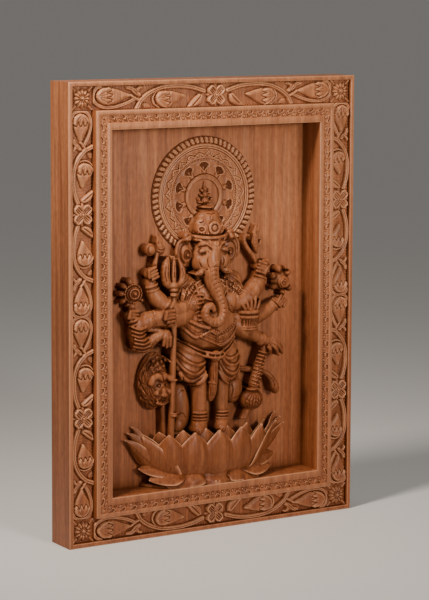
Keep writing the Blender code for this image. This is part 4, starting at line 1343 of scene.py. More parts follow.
                faces.append(quad if turned else quad[:, ::-1])
        return points, np.vstack(faces)

    def sample(self, places):
        """Distances at loose places, evened between the eight grid points round each."""
        spot = (places - self.low) / self.step
        base = [np.clip(np.floor(spot[:, axis]).astype(int), 0, self.shape[axis] - 2) for axis in range(3)]
        part = [np.clip(spot[:, axis] - base[axis], 0, 1) for axis in range(3)]
        total = np.zeros(len(places))
        for a in (0, 1):
            for b in (0, 1):
                for c in (0, 1):
                    share = (part[0] if a else 1 - part[0]) * (part[1] if b else 1 - part[1])
                    share = share * (part[2] if c else 1 - part[2])
                    total += share * self.field[base[0] + a, base[1] + b, base[2] + c]
        last = np.array(self.shape) - 1
        return np.where(((spot < 0) | (spot > last)).any(axis=1), 4 * MM, total)

    def wear_and_shade_at(self, places, normals):
        """Dark wax and painted shade where wood stands close in front of the surface, rubbed pale with a
        painted highlight where it falls away; painted shade also on faces turned down or left and on low
        parts.
        """
        # Dark wax and painted occlusion shade: darker the nearer wood stands along the normal.
        held = np.zeros(len(places))
        for reach, share in ((0.7, 1.2), (1.5, 0.9), (2.8, 0.6), (4.0, 0.5)):
            gap = self.sample(places + normals * reach * MM) / (reach * MM)
            held += share * np.clip(0.86 - gap, 0, 1.0)
        # Rubbed pale with a painted highlight where little wood lies behind a thin edge.
        behind = -self.sample(places - normals * 0.8 * MM) / (0.8 * MM)
        rubbed_and_highlit = np.clip((0.8 - behind) * 1.6, 0, 1)
        # Painted shade: faces turned down, and faces turned left, are darkened as if out of the light.
        under = 0.38 * np.clip(-normals[:, 2] - 0.05, 0, 1) + 0.16 * np.clip(-normals[:, 0] - 0.3, 0, 1)
        # Painted shade: the carving darkens below 0.22 m, where the light falls off towards the bottom.
        low = 0.14 * np.clip((0.22 - places[:, 2]) / 0.14, 0, 1)
        return np.clip(1.0 * held + under + low + 0.12 - 0.85 * rubbed_and_highlit, -0.9, 1)


def whole_bodies(quads, count):
    """Only the faces of bodies of some size, so that no crumb of a carving is left loose."""
    parent = np.arange(count)
    a = quads.reshape(-1)
    b = np.roll(quads, 1, axis=1).reshape(-1)
    while True:
        before = parent.copy()
        low = np.minimum(parent[a], parent[b])
        np.minimum.at(parent, parent[a], low)
        np.minimum.at(parent, parent[b], low)
        parent = parent[parent]
        if (parent == before).all():
            break
    group = parent[quads[:, 0]]
    names, sizes = np.unique(group, return_counts=True)
    return quads[np.isin(group, names[sizes >= SMALLEST_BODY])]


def skin_piece(name, carving, limit, darkening):
    """Skins a carving, thins its flat stretches to a limit, marks its wax, rubbing and painted shade, and
    darkens it all by a set amount.
    """
    points, quads = carving.skin()
    quads = whole_bodies(quads, len(points))
    used, numbers = np.unique(quads, return_inverse=True)
    points = points[used]
    quads = numbers.reshape(quads.shape)
    mesh = bpy.data.meshes.new(name + "_rough")
    mesh.from_pydata(points.tolist(), [], quads.tolist())
    rough = bpy.data.objects.new(name + "_rough", mesh)
    bpy.context.scene.collection.objects.link(rough)
    if len(quads) * 2 > limit:
        thin = rough.modifiers.new("thinned", "DECIMATE")
        thin.ratio = limit / (len(quads) * 2)
    bpy.context.view_layer.update()
    done = bpy.data.meshes.new_from_object(rough.evaluated_get(bpy.context.evaluated_depsgraph_get()))
    bpy.data.objects.remove(rough, do_unlink=True)
    count = len(done.vertices)
    places = np.empty(count * 3)
    done.vertices.foreach_get("co", places)
    places = places.reshape(-1, 3)
    normals = np.empty(count * 3)
    done.vertex_normals.foreach_get("vector", normals)
    normals = normals.reshape(-1, 3)
    faces = [tuple(face.vertices) for face in done.polygons]
    bpy.data.meshes.remove(done)
    wooden_piece(name, places.tolist(), faces, carving.wear_and_shade_at(places, normals) + darkening)


def carve_body(w):
    w.ball(0.0, 0.52, 0.26, (0.084, 0.42, 0.058), blend=2.0, web=0.8)
    for side in (-1, 1):
        w.ball(side * 0.078, 0.528, 0.32, (0.034, 0.32, 0.036), blend=2.0)
        w.ball(side * 0.06, 0.508, 0.48, (0.034, 0.26, 0.03), blend=0.9)
    w.ball(0.0, 0.44, 0.36, (0.092, 0.5, 0.074), blend=2.0, web=0.8)
    w.ball(0.004, 0.42, 0.6, (0.062, 0.2, 0.046), blend=2.5)
    w.ball(-0.058, 0.345, 0.26, (0.052, 0.4, 0.06), tilt=-10, blend=1.6, web=0.85)
    w.ball(0.053, 0.345, 0.28, (0.047, 0.39, 0.066), tilt=12, blend=1.6, web=0.85)
    w.ball(0.056, 0.312, 0.4, (0.036, 0.27, 0.03), tilt=14, blend=1.6)
    w.ball(-0.062, 0.318, 0.4, (0.042, 0.27, 0.034), tilt=-12, blend=1.6)
    for across, wide, low in ((-0.033, 0.0225, 0.0205), (0.041, 0.0195, 0.0165)):
        w.limb(((across, 0.31, 0.36, wide), (across, 0.25, 0.38, wide), (across, 0.2, 0.4, low),
            (across, 0.155, 0.42, low + 0.003)), 1.5)
    w.limb(((-0.036, 0.166, 0.46, 0.02), (-0.049, 0.152, 0.66, 0.016)), 1.0, 0.8)
    w.limb(((0.04, 0.162, 0.46, 0.019), (0.028, 0.15, 0.66, 0.015)), 1.0, 0.8)
    w.ball(-0.081, 0.216, 0.16, (0.028, 0.26, 0.066), tilt=6, blend=0.7, web=0.9)
    w.ball(-0.093, 0.166, 0.3, (0.016, 0.14, 0.022), tilt=-20, blend=0.7, web=0.9)
    w.ball(0.094, 0.247, 0.16, (0.027, 0.22, 0.038), tilt=-8, blend=0.7, web=0.9)
    w.limb(((0.002, 0.348, 0.7, 0.0105), (0.002, 0.31, 0.66, 0.012), (0.001, 0.282, 0.62, 0.013),
        (-0.001, 0.252, 0.58, 0.013), (-0.003, 0.236, 0.54, 0.0095)), 0.5, 0.9)
    w.ball(0.001, 0.358, 0.8, (0.018, 0.13, 0.016), blend=0.5)
    w.ball(-0.018, 0.364, 0.76, (0.011, 0.1, 0.009), tilt=-20, blend=0.4)
    w.ball(0.021, 0.361, 0.76, (0.011, 0.1, 0.009), tilt=20, blend=0.4)
    for side in (-1, 1):
        w.ball(side * 0.078, 0.556, 0.3, (0.034, 0.24, 0.034), tilt=-40 * side, blend=0.8, web=0.8)


def carve_body_ornament(w):
    """Folds, sash, garland, bib and chains, each a line drawn on the forms beneath."""

    def fold(points, width=1.5):
        """A roll of cloth with a sharp cut along its upper side."""
        line = np.asarray(points)
        w.trace(line - (0, 0.0055), width, -0.35, blend=1.6)
        w.look()
        w.grooves([line], 0.62, 0.1)

    w.look()
    for left in (
        ((-0.104, 0.402), (-0.078, 0.383), (-0.05, 0.37), (-0.024, 0.36)),
        ((-0.106, 0.38), (-0.08, 0.354), (-0.049, 0.341), (-0.022, 0.346)),
        ((-0.107, 0.358), (-0.086, 0.329), (-0.057, 0.316), (-0.022, 0.332)),
        ((-0.105, 0.336), (-0.088, 0.309), (-0.062, 0.297), (-0.022, 0.318)),
        ((0.028, 0.364), (0.052, 0.352), (0.076, 0.356), (0.096, 0.37)),
        ((0.03, 0.356), (0.052, 0.336), (0.076, 0.332), (0.098, 0.35)),
        ((0.026, 0.346), (0.044, 0.318), (0.072, 0.308), (0.098, 0.328)),
        ((0.024, 0.334), (0.04, 0.305), (0.068, 0.291), (0.094, 0.308)),
    ):
        fold(left)
    w.look()
    w.trace(((-0.103, 0.316), (-0.086, 0.291), (-0.063, 0.279), (-0.04, 0.286), (-0.022, 0.303)), 2.2, 0.25)
    w.trace(((0.022, 0.312), (0.04, 0.285), (0.064, 0.274), (0.084, 0.285), (0.094, 0.304)), 2.2, 0.25)
    w.look()
    w.grooves([((-0.1, 0.309), (-0.084, 0.285), (-0.062, 0.274), (-0.04, 0.28)),
        ((0.04, 0.286), (0.066, 0.273), (0.088, 0.286))], 0.6)
    w.grooves([((-0.006 + 0.005 * k, 0.334), (-0.005 + 0.006 * k, 0.305), (-0.005 + 0.006 * k,
        0.286)) for k in range(4)], 0.45)
    w.trace(((-0.013, 0.284), (0.001, 0.281), (0.015, 0.283)), 1.1, 0.5)
    w.grooves([((-0.01 + 0.005 * k, 0.276), (-0.01 + 0.0048 * k, 0.255), (-0.008 + 0.004 * k,
        0.238)) for k in range(5)], 0.42)
    w.grooves([((-0.018, 0.352), (-0.004, 0.364), (0.01, 0.354)), ((-0.008, 0.368), (0.001, 0.356),
        (0.01, 0.369)), ((-0.024, 0.368), (-0.016, 0.361)), ((0.026, 0.366), (0.018, 0.359))], 0.5)
    w.ring(0.001, 0.358, 0.0085, 0.6, 0.3)
    for rise in (0.199, 0.19, 0.181, 0.172):
        w.bangles((-0.033, rise), (-0.033, rise - 0.001), 1, 0.023, 1.05, 0.41)
        w.bangles((0.041, rise - 0.004), (0.041, rise - 0.005), 1, 0.019, 1.0, 0.41)
    w.look()
    for toe in range(4):
        w.grooves([((-0.063 + 0.009 * toe, 0.144), (-0.062 + 0.009 * toe, 0.156)),
            ((0.015 + 0.009 * toe, 0.142), (0.016 + 0.009 * toe, 0.154))], 0.45)
    for drop in (0.0, 0.012):
        w.trace(((-0.112, 0.424 - drop), (-0.086, 0.403 - drop), (-0.055, 0.382 - drop),
            (-0.024, 0.37 - drop), (0.003, 0.367 - drop), (0.033, 0.372 - drop), (0.06, 0.389 - drop),
            (0.083, 0.41 - drop), (0.1, 0.428 - drop)), 1.25, 0.45)
    w.look()
    w.grooves([((-0.1, 0.408), (-0.07, 0.385), (-0.024, 0.364), (0.003, 0.361), (0.033, 0.366),
        (0.072, 0.393), (0.094, 0.415))], 0.45)
    w.grooves([((-0.1, 0.25), (-0.088, 0.262), (-0.07, 0.262)), ((-0.102, 0.19), (-0.086, 0.2),
        (-0.07, 0.18)), ((0.08, 0.222), (0.096, 0.226), (0.11, 0.232)), ((0.078, 0.226), (0.082, 0.25),
        (0.08, 0.272))], 0.45)

    vest = ((-0.1, 0.47), (-0.09, 0.442), (-0.062, 0.415), (-0.044, 0.421), (-0.02, 0.431), (0.004, 0.421))
    w.trace(vest, 1.5, 0.35)
    w.look()
    w.grooves([np.asarray(vest) + (0.003, 0.0065), np.asarray(vest) + (0.004, 0.0125)], 0.45)
    low = ((-0.05, 0.417), (-0.02, 0.402), (0.004, 0.392), (0.022, 0.386), (0.046, 0.398), (0.068, 0.42),
        (0.086, 0.448))
    w.trace(low, 1.0, 0.3)
    w.look()
    w.grooves([np.asarray(low) + (0.0, 0.0075), np.asarray(low) + (0.0, 0.015)], 0.45)
    w.beads(((-0.04, 0.446), (-0.014, 0.434), (0.01, 0.424), (0.034, 0.428), (0.06, 0.442),
        (0.08, 0.462)), 1.15, 2.2, 0.2)
    w.look()
    w.beads(((-0.03, 0.438), (0.004, 0.416), (0.036, 0.418), (0.064, 0.434)), 0.75, 2.2, 0.2)
    w.ball(0.01, 0.412, 0.84, (0.0095, 0.05, 0.0085), blend=0.2)
    w.look()
    w.ring(0.01, 0.412, 0.006, 0.4, 0.0, hollow=True)
    rope = ((-0.094, 0.548), (-0.1, 0.515), (-0.096, 0.486), (-0.078, 0.464), (-0.052, 0.448),
        (-0.026, 0.44))
    w.trace(rope, 1.7, 0.45)
    w.look()
    w.grooves([np.asarray(rope) + (0.002, 0.0005)], 0.45, 0.4)
    for side in (-1, 1):
        collar = ((side * 0.04, 0.59), (side * 0.066, 0.577), (side * 0.094, 0.556), (side * 0.108, 0.53))
        for index in range(4):
            w.trace(np.asarray(collar) - (side * 0.0075 * index, 0.0095 * index), 0.95, 0.35)
        w.look()
        for index in range(13):
            mix = index / 12
            start = np.array([side * (0.044 + 0.062 * mix), 0.588 - 0.05 * mix])
            w.grooves([(start, start - (side * 0.02, 0.03))], 0.42)
        for index in range(7):
            w.beads(((side * (0.05 + 0.008 * index), 0.571 - 0.006 * index),
                (side * (0.044 + 0.008 * index), 0.562 - 0.006 * index)), 0.7, 2.4, 0.2)
    w.look()
    for reach, thick in ((0.0, 1.1), (0.014, 1.0)):
        w.trace(((-0.05, 0.56 - reach), (-0.044, 0.538 - reach), (-0.028, 0.522 - reach),
            (0.0, 0.514 - reach), (0.03, 0.524 - reach), (0.046, 0.541 - reach), (0.052, 0.562 - reach)),
            thick, 0.35)
    w.look()
    for index in range(7):
        rise = 0.531 - 0.0115 * index
        w.trace(((-0.052, rise), (-0.042, rise + 0.001), (-0.034, rise - 0.001)), 1.05, 0.35)
    w.look()
    w.trace(((-0.1, 0.53), (-0.094, 0.5), (-0.074, 0.482), (-0.052, 0.482)), 0.8, 0.3)
    w.ring(-0.066, 0.512, 0.004, 0.5, 0.3)
    w.grooves([((0.052, 0.5), (0.066, 0.486), (0.086, 0.49)), ((0.048, 0.488), (0.066, 0.474),
        (0.088, 0.478))], 0.45)


def carve_head(w):
    w.ball(0.0, 0.7, 0.02, (0.052, 0.4, 0.064), blend=1.5, web=0.9)
    w.ball(0.0, 0.58, 0.2, (0.04, 0.36, 0.04), blend=1.5, web=0.8)
    w.ball(0.0, 0.64, 0.34, (0.053, 0.42, 0.052), blend=1.5, web=0.8)
    for side in (-1, 1):
        w.ball(side * 0.019, 0.668, 0.54, (0.025, 0.2, 0.022), blend=1.2)
        w.ball(side * 0.034, 0.622, 0.5, (0.024, 0.28, 0.03), tilt=12 * side, blend=1.5)
        w.ball(side * 0.073, 0.646, 0.24, (0.029, 0.12, 0.04), tilt=-12 * side, blend=0.5, web=0.7)
        w.ball(side * 0.07, 0.692, 0.36, (0.015, 0.15, 0.015), blend=0.3, web=0.9)
        w.limb(((side * 0.026, 0.608, 0.58, 0.01), (side * 0.041, 0.595, 0.66, 0.0088),
            (side * 0.058, 0.59, 0.68, 0.004)), 0.5, 0.5)
    w.ball(-0.01, 0.588, 0.5, (0.026, 0.2, 0.016), blend=0.8)
    w.limb(
        (
            (-0.002, 0.662, 0.56, 0.026),
            (-0.006, 0.635, 0.62, 0.026),
            (-0.011, 0.602, 0.68, 0.0235),
            (-0.006, 0.57, 0.69, 0.0215),
            (0.007, 0.536, 0.71, 0.0198),
            (0.021, 0.502, 0.73, 0.0182),
            (0.024, 0.475, 0.75, 0.0168),
            (0.009, 0.454, 0.77, 0.0155),
            (-0.016, 0.455, 0.79, 0.014),
            (-0.034, 0.473, 0.8, 0.0125),
            (-0.031, 0.495, 0.81, 0.0108),
            (-0.016, 0.501, 0.83, 0.0092),
            (-0.009, 0.49, 0.85, 0.0078),
        ),
        0.6,
        0.6,
    )
    w.ball(0.0, 0.712, 0.3, (0.047, 0.38, 0.042), blend=0.6, web=0.9)
    w.ball(0.0, 0.74, 0.26, (0.037, 0.34, 0.026), blend=0.8, web=0.9)
    for rise, wide, deep in ((0.752, 0.031, 0.32), (0.762, 0.026, 0.29), (0.771, 0.024, 0.26)):
        w.ball(-0.001, rise, 0.16, (wide, deep, 0.0054), blend=0.5, web=0.95)
    for rise, wide, tall, out in ((0.787, 0.013, 0.012, 0.19), (0.805, 0.01, 0.0105, 0.18),
            (0.82, 0.0075, 0.009, 0.17)):
        w.ball(0.0, rise, out - 0.1, (wide, 0.12, tall), blend=0.3)
    w.limb(((0.0, 0.824, 0.08, 0.0055), (0.0, 0.834, 0.07, 0.0036), (0.0, 0.843, 0.06, 0.0018)), 0.3, 0.8)
    for side in (-1, 1):
        for across, rise, wide, lean in ((0.0145, 0.783, 0.0105, 12), (0.02, 0.791, 0.0075, 50),
                (0.0125, 0.802, 0.0075, 35), (0.01, 0.816, 0.006, 50)):
            w.ball(side * across, rise, 0.09, (wide, 0.09, 0.0046), tilt=side * lean, blend=0.25)
    turn = np.linspace(-1.35, 1.35, 15)
    for rise, wide, thick in ((0.688, 0.059, 1.7), (0.68, 0.06, 1.0)):
        across = np.sin(turn) * wide
        out = 0.2 + np.cos(turn) * 0.52
        w.cord(figure_place(across, rise + 0.006 * np.sin(turn) ** 2, out), np.full(15, thick * MM), 0.2)


def carve_head_ornament(w):
    w.look()
    w.ball(0.002, 0.716, 0.66, (0.018, 0.06, 0.018), blend=0.4)
    w.look()
    w.ring(0.002, 0.716, 0.0165, 0.7, 0.4)
    w.ring(0.002, 0.716, 0.0098, 0.5, 0.1, hollow=True)
    w.beads([(0.002 + 0.013 * math.cos(t), 0.716 + 0.013 * math.sin(t)) for t in np.linspace(0, 6.28,
        12)], 0.6, 2.4, 0.2)
    for side in (-1, 1):
        w.ring(side * 0.033, 0.712, 0.0085, 0.6, 0.3)
        w.ring(side * 0.033, 0.712, 0.0045, 0.45, 0.1, hollow=True)
        w.grooves([((side * 0.02, 0.742), (side * 0.032, 0.73), (side * 0.044, 0.733))], 0.5)
        w.grooves([((side * 0.018, 0.734), (side * 0.026, 0.726), (side * 0.03, 0.722))], 0.5)
        w.grooves([((side * 0.02, 0.699), (side * 0.03, 0.697), (side * 0.044, 0.7))], 0.4)
        w.grooves([((side * 0.052, 0.688), (side * 0.066, 0.7), (side * 0.079, 0.692)),
            ((side * 0.06, 0.684), (side * 0.07, 0.68), (side * 0.078, 0.686))], 0.5)
    w.grooves([((0.0, 0.736), (-0.006, 0.744), (0.0, 0.752), (0.006, 0.744), (0.0, 0.736))], 0.4)
    w.beads([(0.06 * math.sin(t), 0.6995 + 0.004 * math.sin(t) ** 2) for t in np.linspace(-1.3, 1.3, 14)],
        0.85, 2.3, 0.4)
    w.look()
    for side in (-1, 1):
        rim = [(side * 0.054, 0.674), (side * 0.07, 0.686), (side * 0.092, 0.678), (side * 0.101, 0.654),
            (side * 0.096, 0.624), (side * 0.08, 0.602), (side * 0.062, 0.6)]
        w.trace(rim, 1.35, 0.65)
        w.look()
        w.grooves([[(side * 0.06, 0.668), (side * 0.074, 0.674), (side * 0.086, 0.664),
            (side * 0.09, 0.646), (side * 0.084, 0.624), (side * 0.072, 0.614)]], 0.8, 0.1)
        w.ring(side * 0.07, 0.641, 0.014, 0.9, 0.15, squash=1.25)
        w.ring(side * 0.069, 0.641, 0.0085, 0.4, 0.2, hollow=True, squash=1.2)
        w.ball(side * 0.069, 0.641, 0.4, (0.0045, 0.05, 0.0055), blend=0.1)
        w.grooves([((side * 0.062, 0.618), (side * 0.07, 0.608), (side * 0.08, 0.612))], 0.5)
    w.look()
    for side in (-1, 1):
        w.ball(side * 0.033, 0.655, 0.68, (0.014, 0.08, 0.0072), tilt=-12 * side, blend=0.2)
    w.look()
    for side in (-1, 1):
        w.trace(((side * 0.054, 0.656), (side * 0.044, 0.67), (side * 0.029, 0.675),
            (side * 0.012, 0.662)), 0.95, 0.45)
        w.grooves([((side * 0.05, 0.654), (side * 0.04, 0.665), (side * 0.028, 0.6665),
            (side * 0.014, 0.656))], 0.7)
        w.grooves([((side * 0.049, 0.651), (side * 0.034, 0.6495), (side * 0.019, 0.652))], 0.5)
        w.grooves([((side * 0.044, 0.6435), (side * 0.032, 0.641), (side * 0.022, 0.645))], 0.4)
        w.grooves([((side * 0.046, 0.678), (side * 0.032, 0.684), (side * 0.016, 0.679))], 0.5)
        w.grooves([((side * 0.05, 0.626), (side * 0.04, 0.607), (side * 0.026, 0.602))], 0.6)
        w.grooves([((side * 0.026, 0.64), (side * 0.029, 0.622), (side * 0.024, 0.606))], 0.5)
        w.grooves([((side * 0.05, 0.596), (side * 0.04, 0.59), (side * 0.03, 0.594))], 0.4)
    w.ring(0.002, 0.674, 0.0052, 0.5, 0.3)
    w.ring(0.01, 0.662, 0.0038, 0.4, 0.2)
    w.ring(-0.007, 0.662, 0.0038, 0.4, 0.2)
    for index, side in ((0, -1), (0, 1), (1, -1), (1, 1)):
        w.ring(-0.006 + side * 0.0065, 0.62 - 0.011 * index, 0.0036, 0.4, 0.2)
    trunk = smooth_route([(-0.009, 0.606), (-0.006, 0.57), (0.007, 0.536), (0.021, 0.502), (0.024, 0.475),
        (0.009, 0.454), (-0.016, 0.455), (-0.034, 0.473), (-0.031, 0.495)], step=0.01)
    widths = np.linspace(0.0205, 0.0095, len(trunk))
    for here, ahead, wide in zip(trunk[:-1], trunk[1:], widths):
        run = (ahead - here) / (np.linalg.norm(ahead - here) + 1e-9)
        side = np.array([-run[1], run[0]])
        middle = here - 0.25 * wide * run
        w.grooves([(here + 0.9 * wide * side, middle + 0.3 * wide * side, middle - 0.3 * wide * side,
            here - 0.9 * wide * side)], 0.3, 0.45)
    for rise in (0.757, 0.7665):
        w.grooves([((-0.02, rise), (0.0, rise - 0.003), (0.02, rise))], 0.45)
    w.beads(((-0.02, 0.7715), (0.0, 0.7695), (0.02, 0.7715)), 0.6, 2.3, 0.3)
    w.grooves([((side * 0.006, 0.779), (side * 0.008, 0.786), (side * 0.005, 0.793)) for side in (-1, 0,
        1)], 0.35)


body = Carving((-0.125, 0.125), (0.125, 0.868), CARVING_STEP)
carve_body(body)
carve_body_ornament(body)
carve_head(body)
carve_head_ornament(body)
skin_piece("figure", body, FIGURE_TRIANGLES, FIGURE_DARKENING)


# The four arms at the left, with a hammer-headed staff, a lobed wheel, a wrapped band and a
# trident, and the shield below them in the shape of a maned head. They are undercut in the
# same block and webbed to the recess floor behind.

LEFT_ARMS_TRIANGLES = 140000
LEFT_ARMS_DARKENING = 0.12


def carve_fist(w, across, up, out, size, turn):
    """A closed hand: a block of four fingers with the knuckles outward and a thumb across."""
    lean = math.radians(turn)
    along = np.array([math.cos(lean), math.sin(lean)])
    beside = np.array([-along[1], along[0]])
    w.ball(across, up, out, (size, 0.19, 0.84 * size), tilt=turn, blend=0.5, web=0.7)
    for finger in range(4):
        root = np.array([across, up]) + beside * size * (0.66 - 0.44 * finger) - along * 0.35 * size
        tip = root + along * 1.05 * size
        path = figure_place(np.array([root[0], tip[0]]), np.array([root[1], tip[1]]),
            np.array([out + 0.15, out + 0.13]))
        w.cord(path, np.array([0.25, 0.22]) * size * OPENING_HEIGHT, 0.1)
    root = np.array([across, up]) - beside * 0.2 * size - along * 0.7 * size
    tip = root + beside * 0.9 * size + along * 0.2 * size
    path = figure_place(np.array([root[0], tip[0]]), np.array([root[1], tip[1]]),
        np.array([out + 0.17, out + 0.19]))
    w.cord(path, np.array([0.24, 0.2]) * size * OPENING_HEIGHT, 0.1)


def carve_left_arms(w):
    w.limb(((-0.08, 0.505, 0.34, 0.03), (-0.112, 0.492, 0.4, 0.029), (-0.144, 0.503, 0.42, 0.0265),
        (-0.172, 0.53, 0.42, 0.023), (-0.187, 0.556, 0.41, 0.018), (-0.19, 0.578, 0.41, 0.015)), 1.2)
    carve_fist(w, -0.19, 0.599, 0.44, 0.0205, 20)
    w.limb(((-0.181, 0.6, 0.46, 0.0068), (-0.176, 0.627, 0.44, 0.0064), (-0.17, 0.655, 0.42, 0.0066)), 0.3)
    w.ball(-0.19, 0.664, 0.38, (0.0175, 0.18, 0.018), blend=0.2, web=0.8)
    w.ball(-0.16, 0.664, 0.38, (0.017, 0.17, 0.017), blend=0.3, web=0.8)
    w.limb(((-0.162, 0.674, 0.4, 0.013), (-0.163, 0.688, 0.38, 0.008), (-0.166, 0.702, 0.36, 0.0022)), 0.4)
    w.limb(((-0.07, 0.48, 0.34, 0.03), (-0.12, 0.47, 0.42, 0.028), (-0.179, 0.472, 0.46, 0.024),
        (-0.222, 0.464, 0.46, 0.0215), (-0.246, 0.47, 0.46, 0.0165)), 1.2)
    carve_fist(w, -0.253, 0.487, 0.46, 0.0205, -4)
    w.limb(((-0.25, 0.495, 0.44, 0.01), (-0.247, 0.52, 0.4, 0.011)), 0.3)
    w.ball(-0.244, 0.547, 0.28, (0.03, 0.2, 0.0275), blend=0.2, web=0.97)
    w.ball(-0.244, 0.547, 0.4, (0.023, 0.13, 0.021), blend=0.2)
    for across, up, wide in ((-0.253, 0.579, 0.0135), (-0.271, 0.568, 0.01), (-0.279, 0.549, 0.0105),
            (-0.274, 0.529, 0.0105), (-0.217, 0.527, 0.008), (-0.26, 0.518, 0.0085)):
        w.ball(across, up, 0.32, (wide, 0.16, 0.82 * wide), tilt=math.degrees(math.atan2(up - 0.547,
            across + 0.244)), blend=0.25, web=0.85)
    w.limb(((-0.232, 0.466, 0.46, 0.0225), (-0.238, 0.44, 0.47, 0.022), (-0.23, 0.412, 0.48, 0.024)), 1.0)
    w.ball(-0.218, 0.405, 0.44, (0.035, 0.28, 0.0245), tilt=-4, blend=0.8, web=0.85)
    w.limb(((-0.2, 0.41, 0.5, 0.02), (-0.182, 0.424, 0.56, 0.0155), (-0.166, 0.43, 0.6, 0.014)), 0.8)
    w.limb(((-0.204, 0.446, 0.54, 0.0075), (-0.184, 0.445, 0.6, 0.008), (-0.164, 0.439, 0.64, 0.007)), 0.3)
    w.limb(((-0.205, 0.472, 0.48, 0.023), (-0.176, 0.477, 0.56, 0.02), (-0.156, 0.481, 0.62, 0.017)), 1.0)
    w.ball(-0.152, 0.424, 0.62, (0.018, 0.16, 0.022), tilt=6, blend=0.5, web=0.7)
    for start, end in (((-0.16, 0.422), (-0.161, 0.401)), ((-0.151, 0.421), (-0.151, 0.396)),
            ((-0.142, 0.422), (-0.141, 0.398))):
        w.limb(((start[0], start[1], 0.72, 0.006), (end[0], end[1], 0.68, 0.005)), 0.15)
    w.limb(((-0.125, 0.56, 0.54, 0.0085), (-0.124, 0.52, 0.58, 0.0088), (-0.126, 0.459, 0.62, 0.0088),
        (-0.128, 0.312, 0.6, 0.0088), (-0.131, 0.14, 0.56, 0.0092)), 0.3, 0.45)
    carve_fist(w, -0.15, 0.481, 0.7, 0.0215, 4)
    w.ball(-0.125, 0.551, 0.58, (0.015, 0.17, 0.0085), blend=0.3)
    w.ball(-0.126, 0.563, 0.58, (0.02, 0.16, 0.011), blend=0.4)
    w.limb(((-0.13, 0.56, 0.56, 0.0095), (-0.147, 0.572, 0.58, 0.0125), (-0.151, 0.6, 0.58, 0.013),
        (-0.146, 0.622, 0.56, 0.0105), (-0.14, 0.64, 0.54, 0.0035)), 0.3)
    w.limb(((-0.125, 0.56, 0.6, 0.0075), (-0.127, 0.59, 0.62, 0.008), (-0.125, 0.618, 0.6, 0.0065),
        (-0.121, 0.642, 0.56, 0.002)), 0.2)
    w.limb(((-0.119, 0.56, 0.56, 0.008), (-0.102, 0.572, 0.58, 0.0105), (-0.096, 0.594, 0.57, 0.0098),
        (-0.099, 0.616, 0.54, 0.007), (-0.107, 0.634, 0.52, 0.0028)), 0.3)


def carve_left_arms_ornament(w):
    w.bangles((-0.189, 0.566), (-0.185, 0.554), 2, 0.0185, 1.2, 0.41)
    w.bangles((-0.15, 0.51), (-0.139, 0.501), 2, 0.027, 1.1, 0.42)
    w.bangles((-0.248, 0.476), (-0.244, 0.466), 2, 0.018, 1.2, 0.46)
    w.bangles((-0.196, 0.473), (-0.185, 0.475), 2, 0.0235, 1.0, 0.5)
    for rise in (0.541, 0.536, 0.45, 0.3, 0.206, 0.2):
        w.bangles((-0.126, rise), (-0.126, rise - 0.0005), 1, 0.0094, 0.95, 0.6)
    w.look()
    for drop in range(4):
        w.trace(((-0.251, 0.425 - 0.0105 * drop), (-0.228, 0.42 - 0.01 * drop),
            (-0.206, 0.426 - 0.011 * drop)), 1.25, 0.25)
    for drop in range(3):
        w.trace(((-0.258, 0.458 - 0.011 * drop), (-0.238, 0.451 - 0.0105 * drop),
            (-0.216, 0.456 - 0.01 * drop)), 1.1, 0.25)
    w.look()
    for drop in range(3):
        w.grooves([((-0.258, 0.453 - 0.011 * drop), (-0.238, 0.446 - 0.0105 * drop),
            (-0.216, 0.451 - 0.01 * drop))], 0.55)
    for drop in range(4):
        w.grooves([((-0.252, 0.419 - 0.0105 * drop), (-0.228, 0.414 - 0.01 * drop),
            (-0.206, 0.42 - 0.011 * drop))], 0.6)
        w.grooves([((-0.202 + 0.006 * drop, 0.388), (-0.2 + 0.007 * drop, 0.402), (-0.193 + 0.006 * drop,
            0.416))], 0.55)
    for radius, width in ((0.0265, 0.9), (0.014, 0.8)):
        w.ring(-0.244, 0.547, radius, width, 0.45, squash=0.92)
    w.look()
    for radius in (0.0225, 0.018, 0.0105):
        w.ring(-0.244, 0.547, radius, 0.45, 0.0, hollow=True, squash=0.92)
    w.beads([(-0.244 + 0.0265 * math.cos(t), 0.547 + 0.0245 * math.sin(t)) for t in np.linspace(0, 6.28,
        16)], 0.8, 2.3, 0.5)
    w.ball(-0.244, 0.547, 0.56, (0.005, 0.05, 0.005), blend=0.1)
    w.ring(-0.19, 0.664, 0.0125, 0.45, 0.0, hollow=True)
    w.grooves([((-0.176, 0.66), (-0.16, 0.653), (-0.145, 0.659)), ((-0.175, 0.668), (-0.16, 0.662),
        (-0.145, 0.668)), ((-0.17, 0.674), (-0.166, 0.688)), ((-0.156, 0.673), (-0.16, 0.687))], 0.45)
    w.look()
    w.grooves(
        [
            ((-0.152, 0.572), (-0.158, 0.598), (-0.151, 0.624)),
            ((-0.143, 0.576), (-0.147, 0.6), (-0.143, 0.628)),
            ((-0.126, 0.58), (-0.127, 0.6), (-0.124, 0.626)),
            ((-0.104, 0.578), (-0.098, 0.596), (-0.101, 0.616)),
        ],
        0.55,
    )
    w.look()
    w.trace(((-0.148, 0.455), (-0.14, 0.47), (-0.13, 0.462)), 0.8, 0.3)


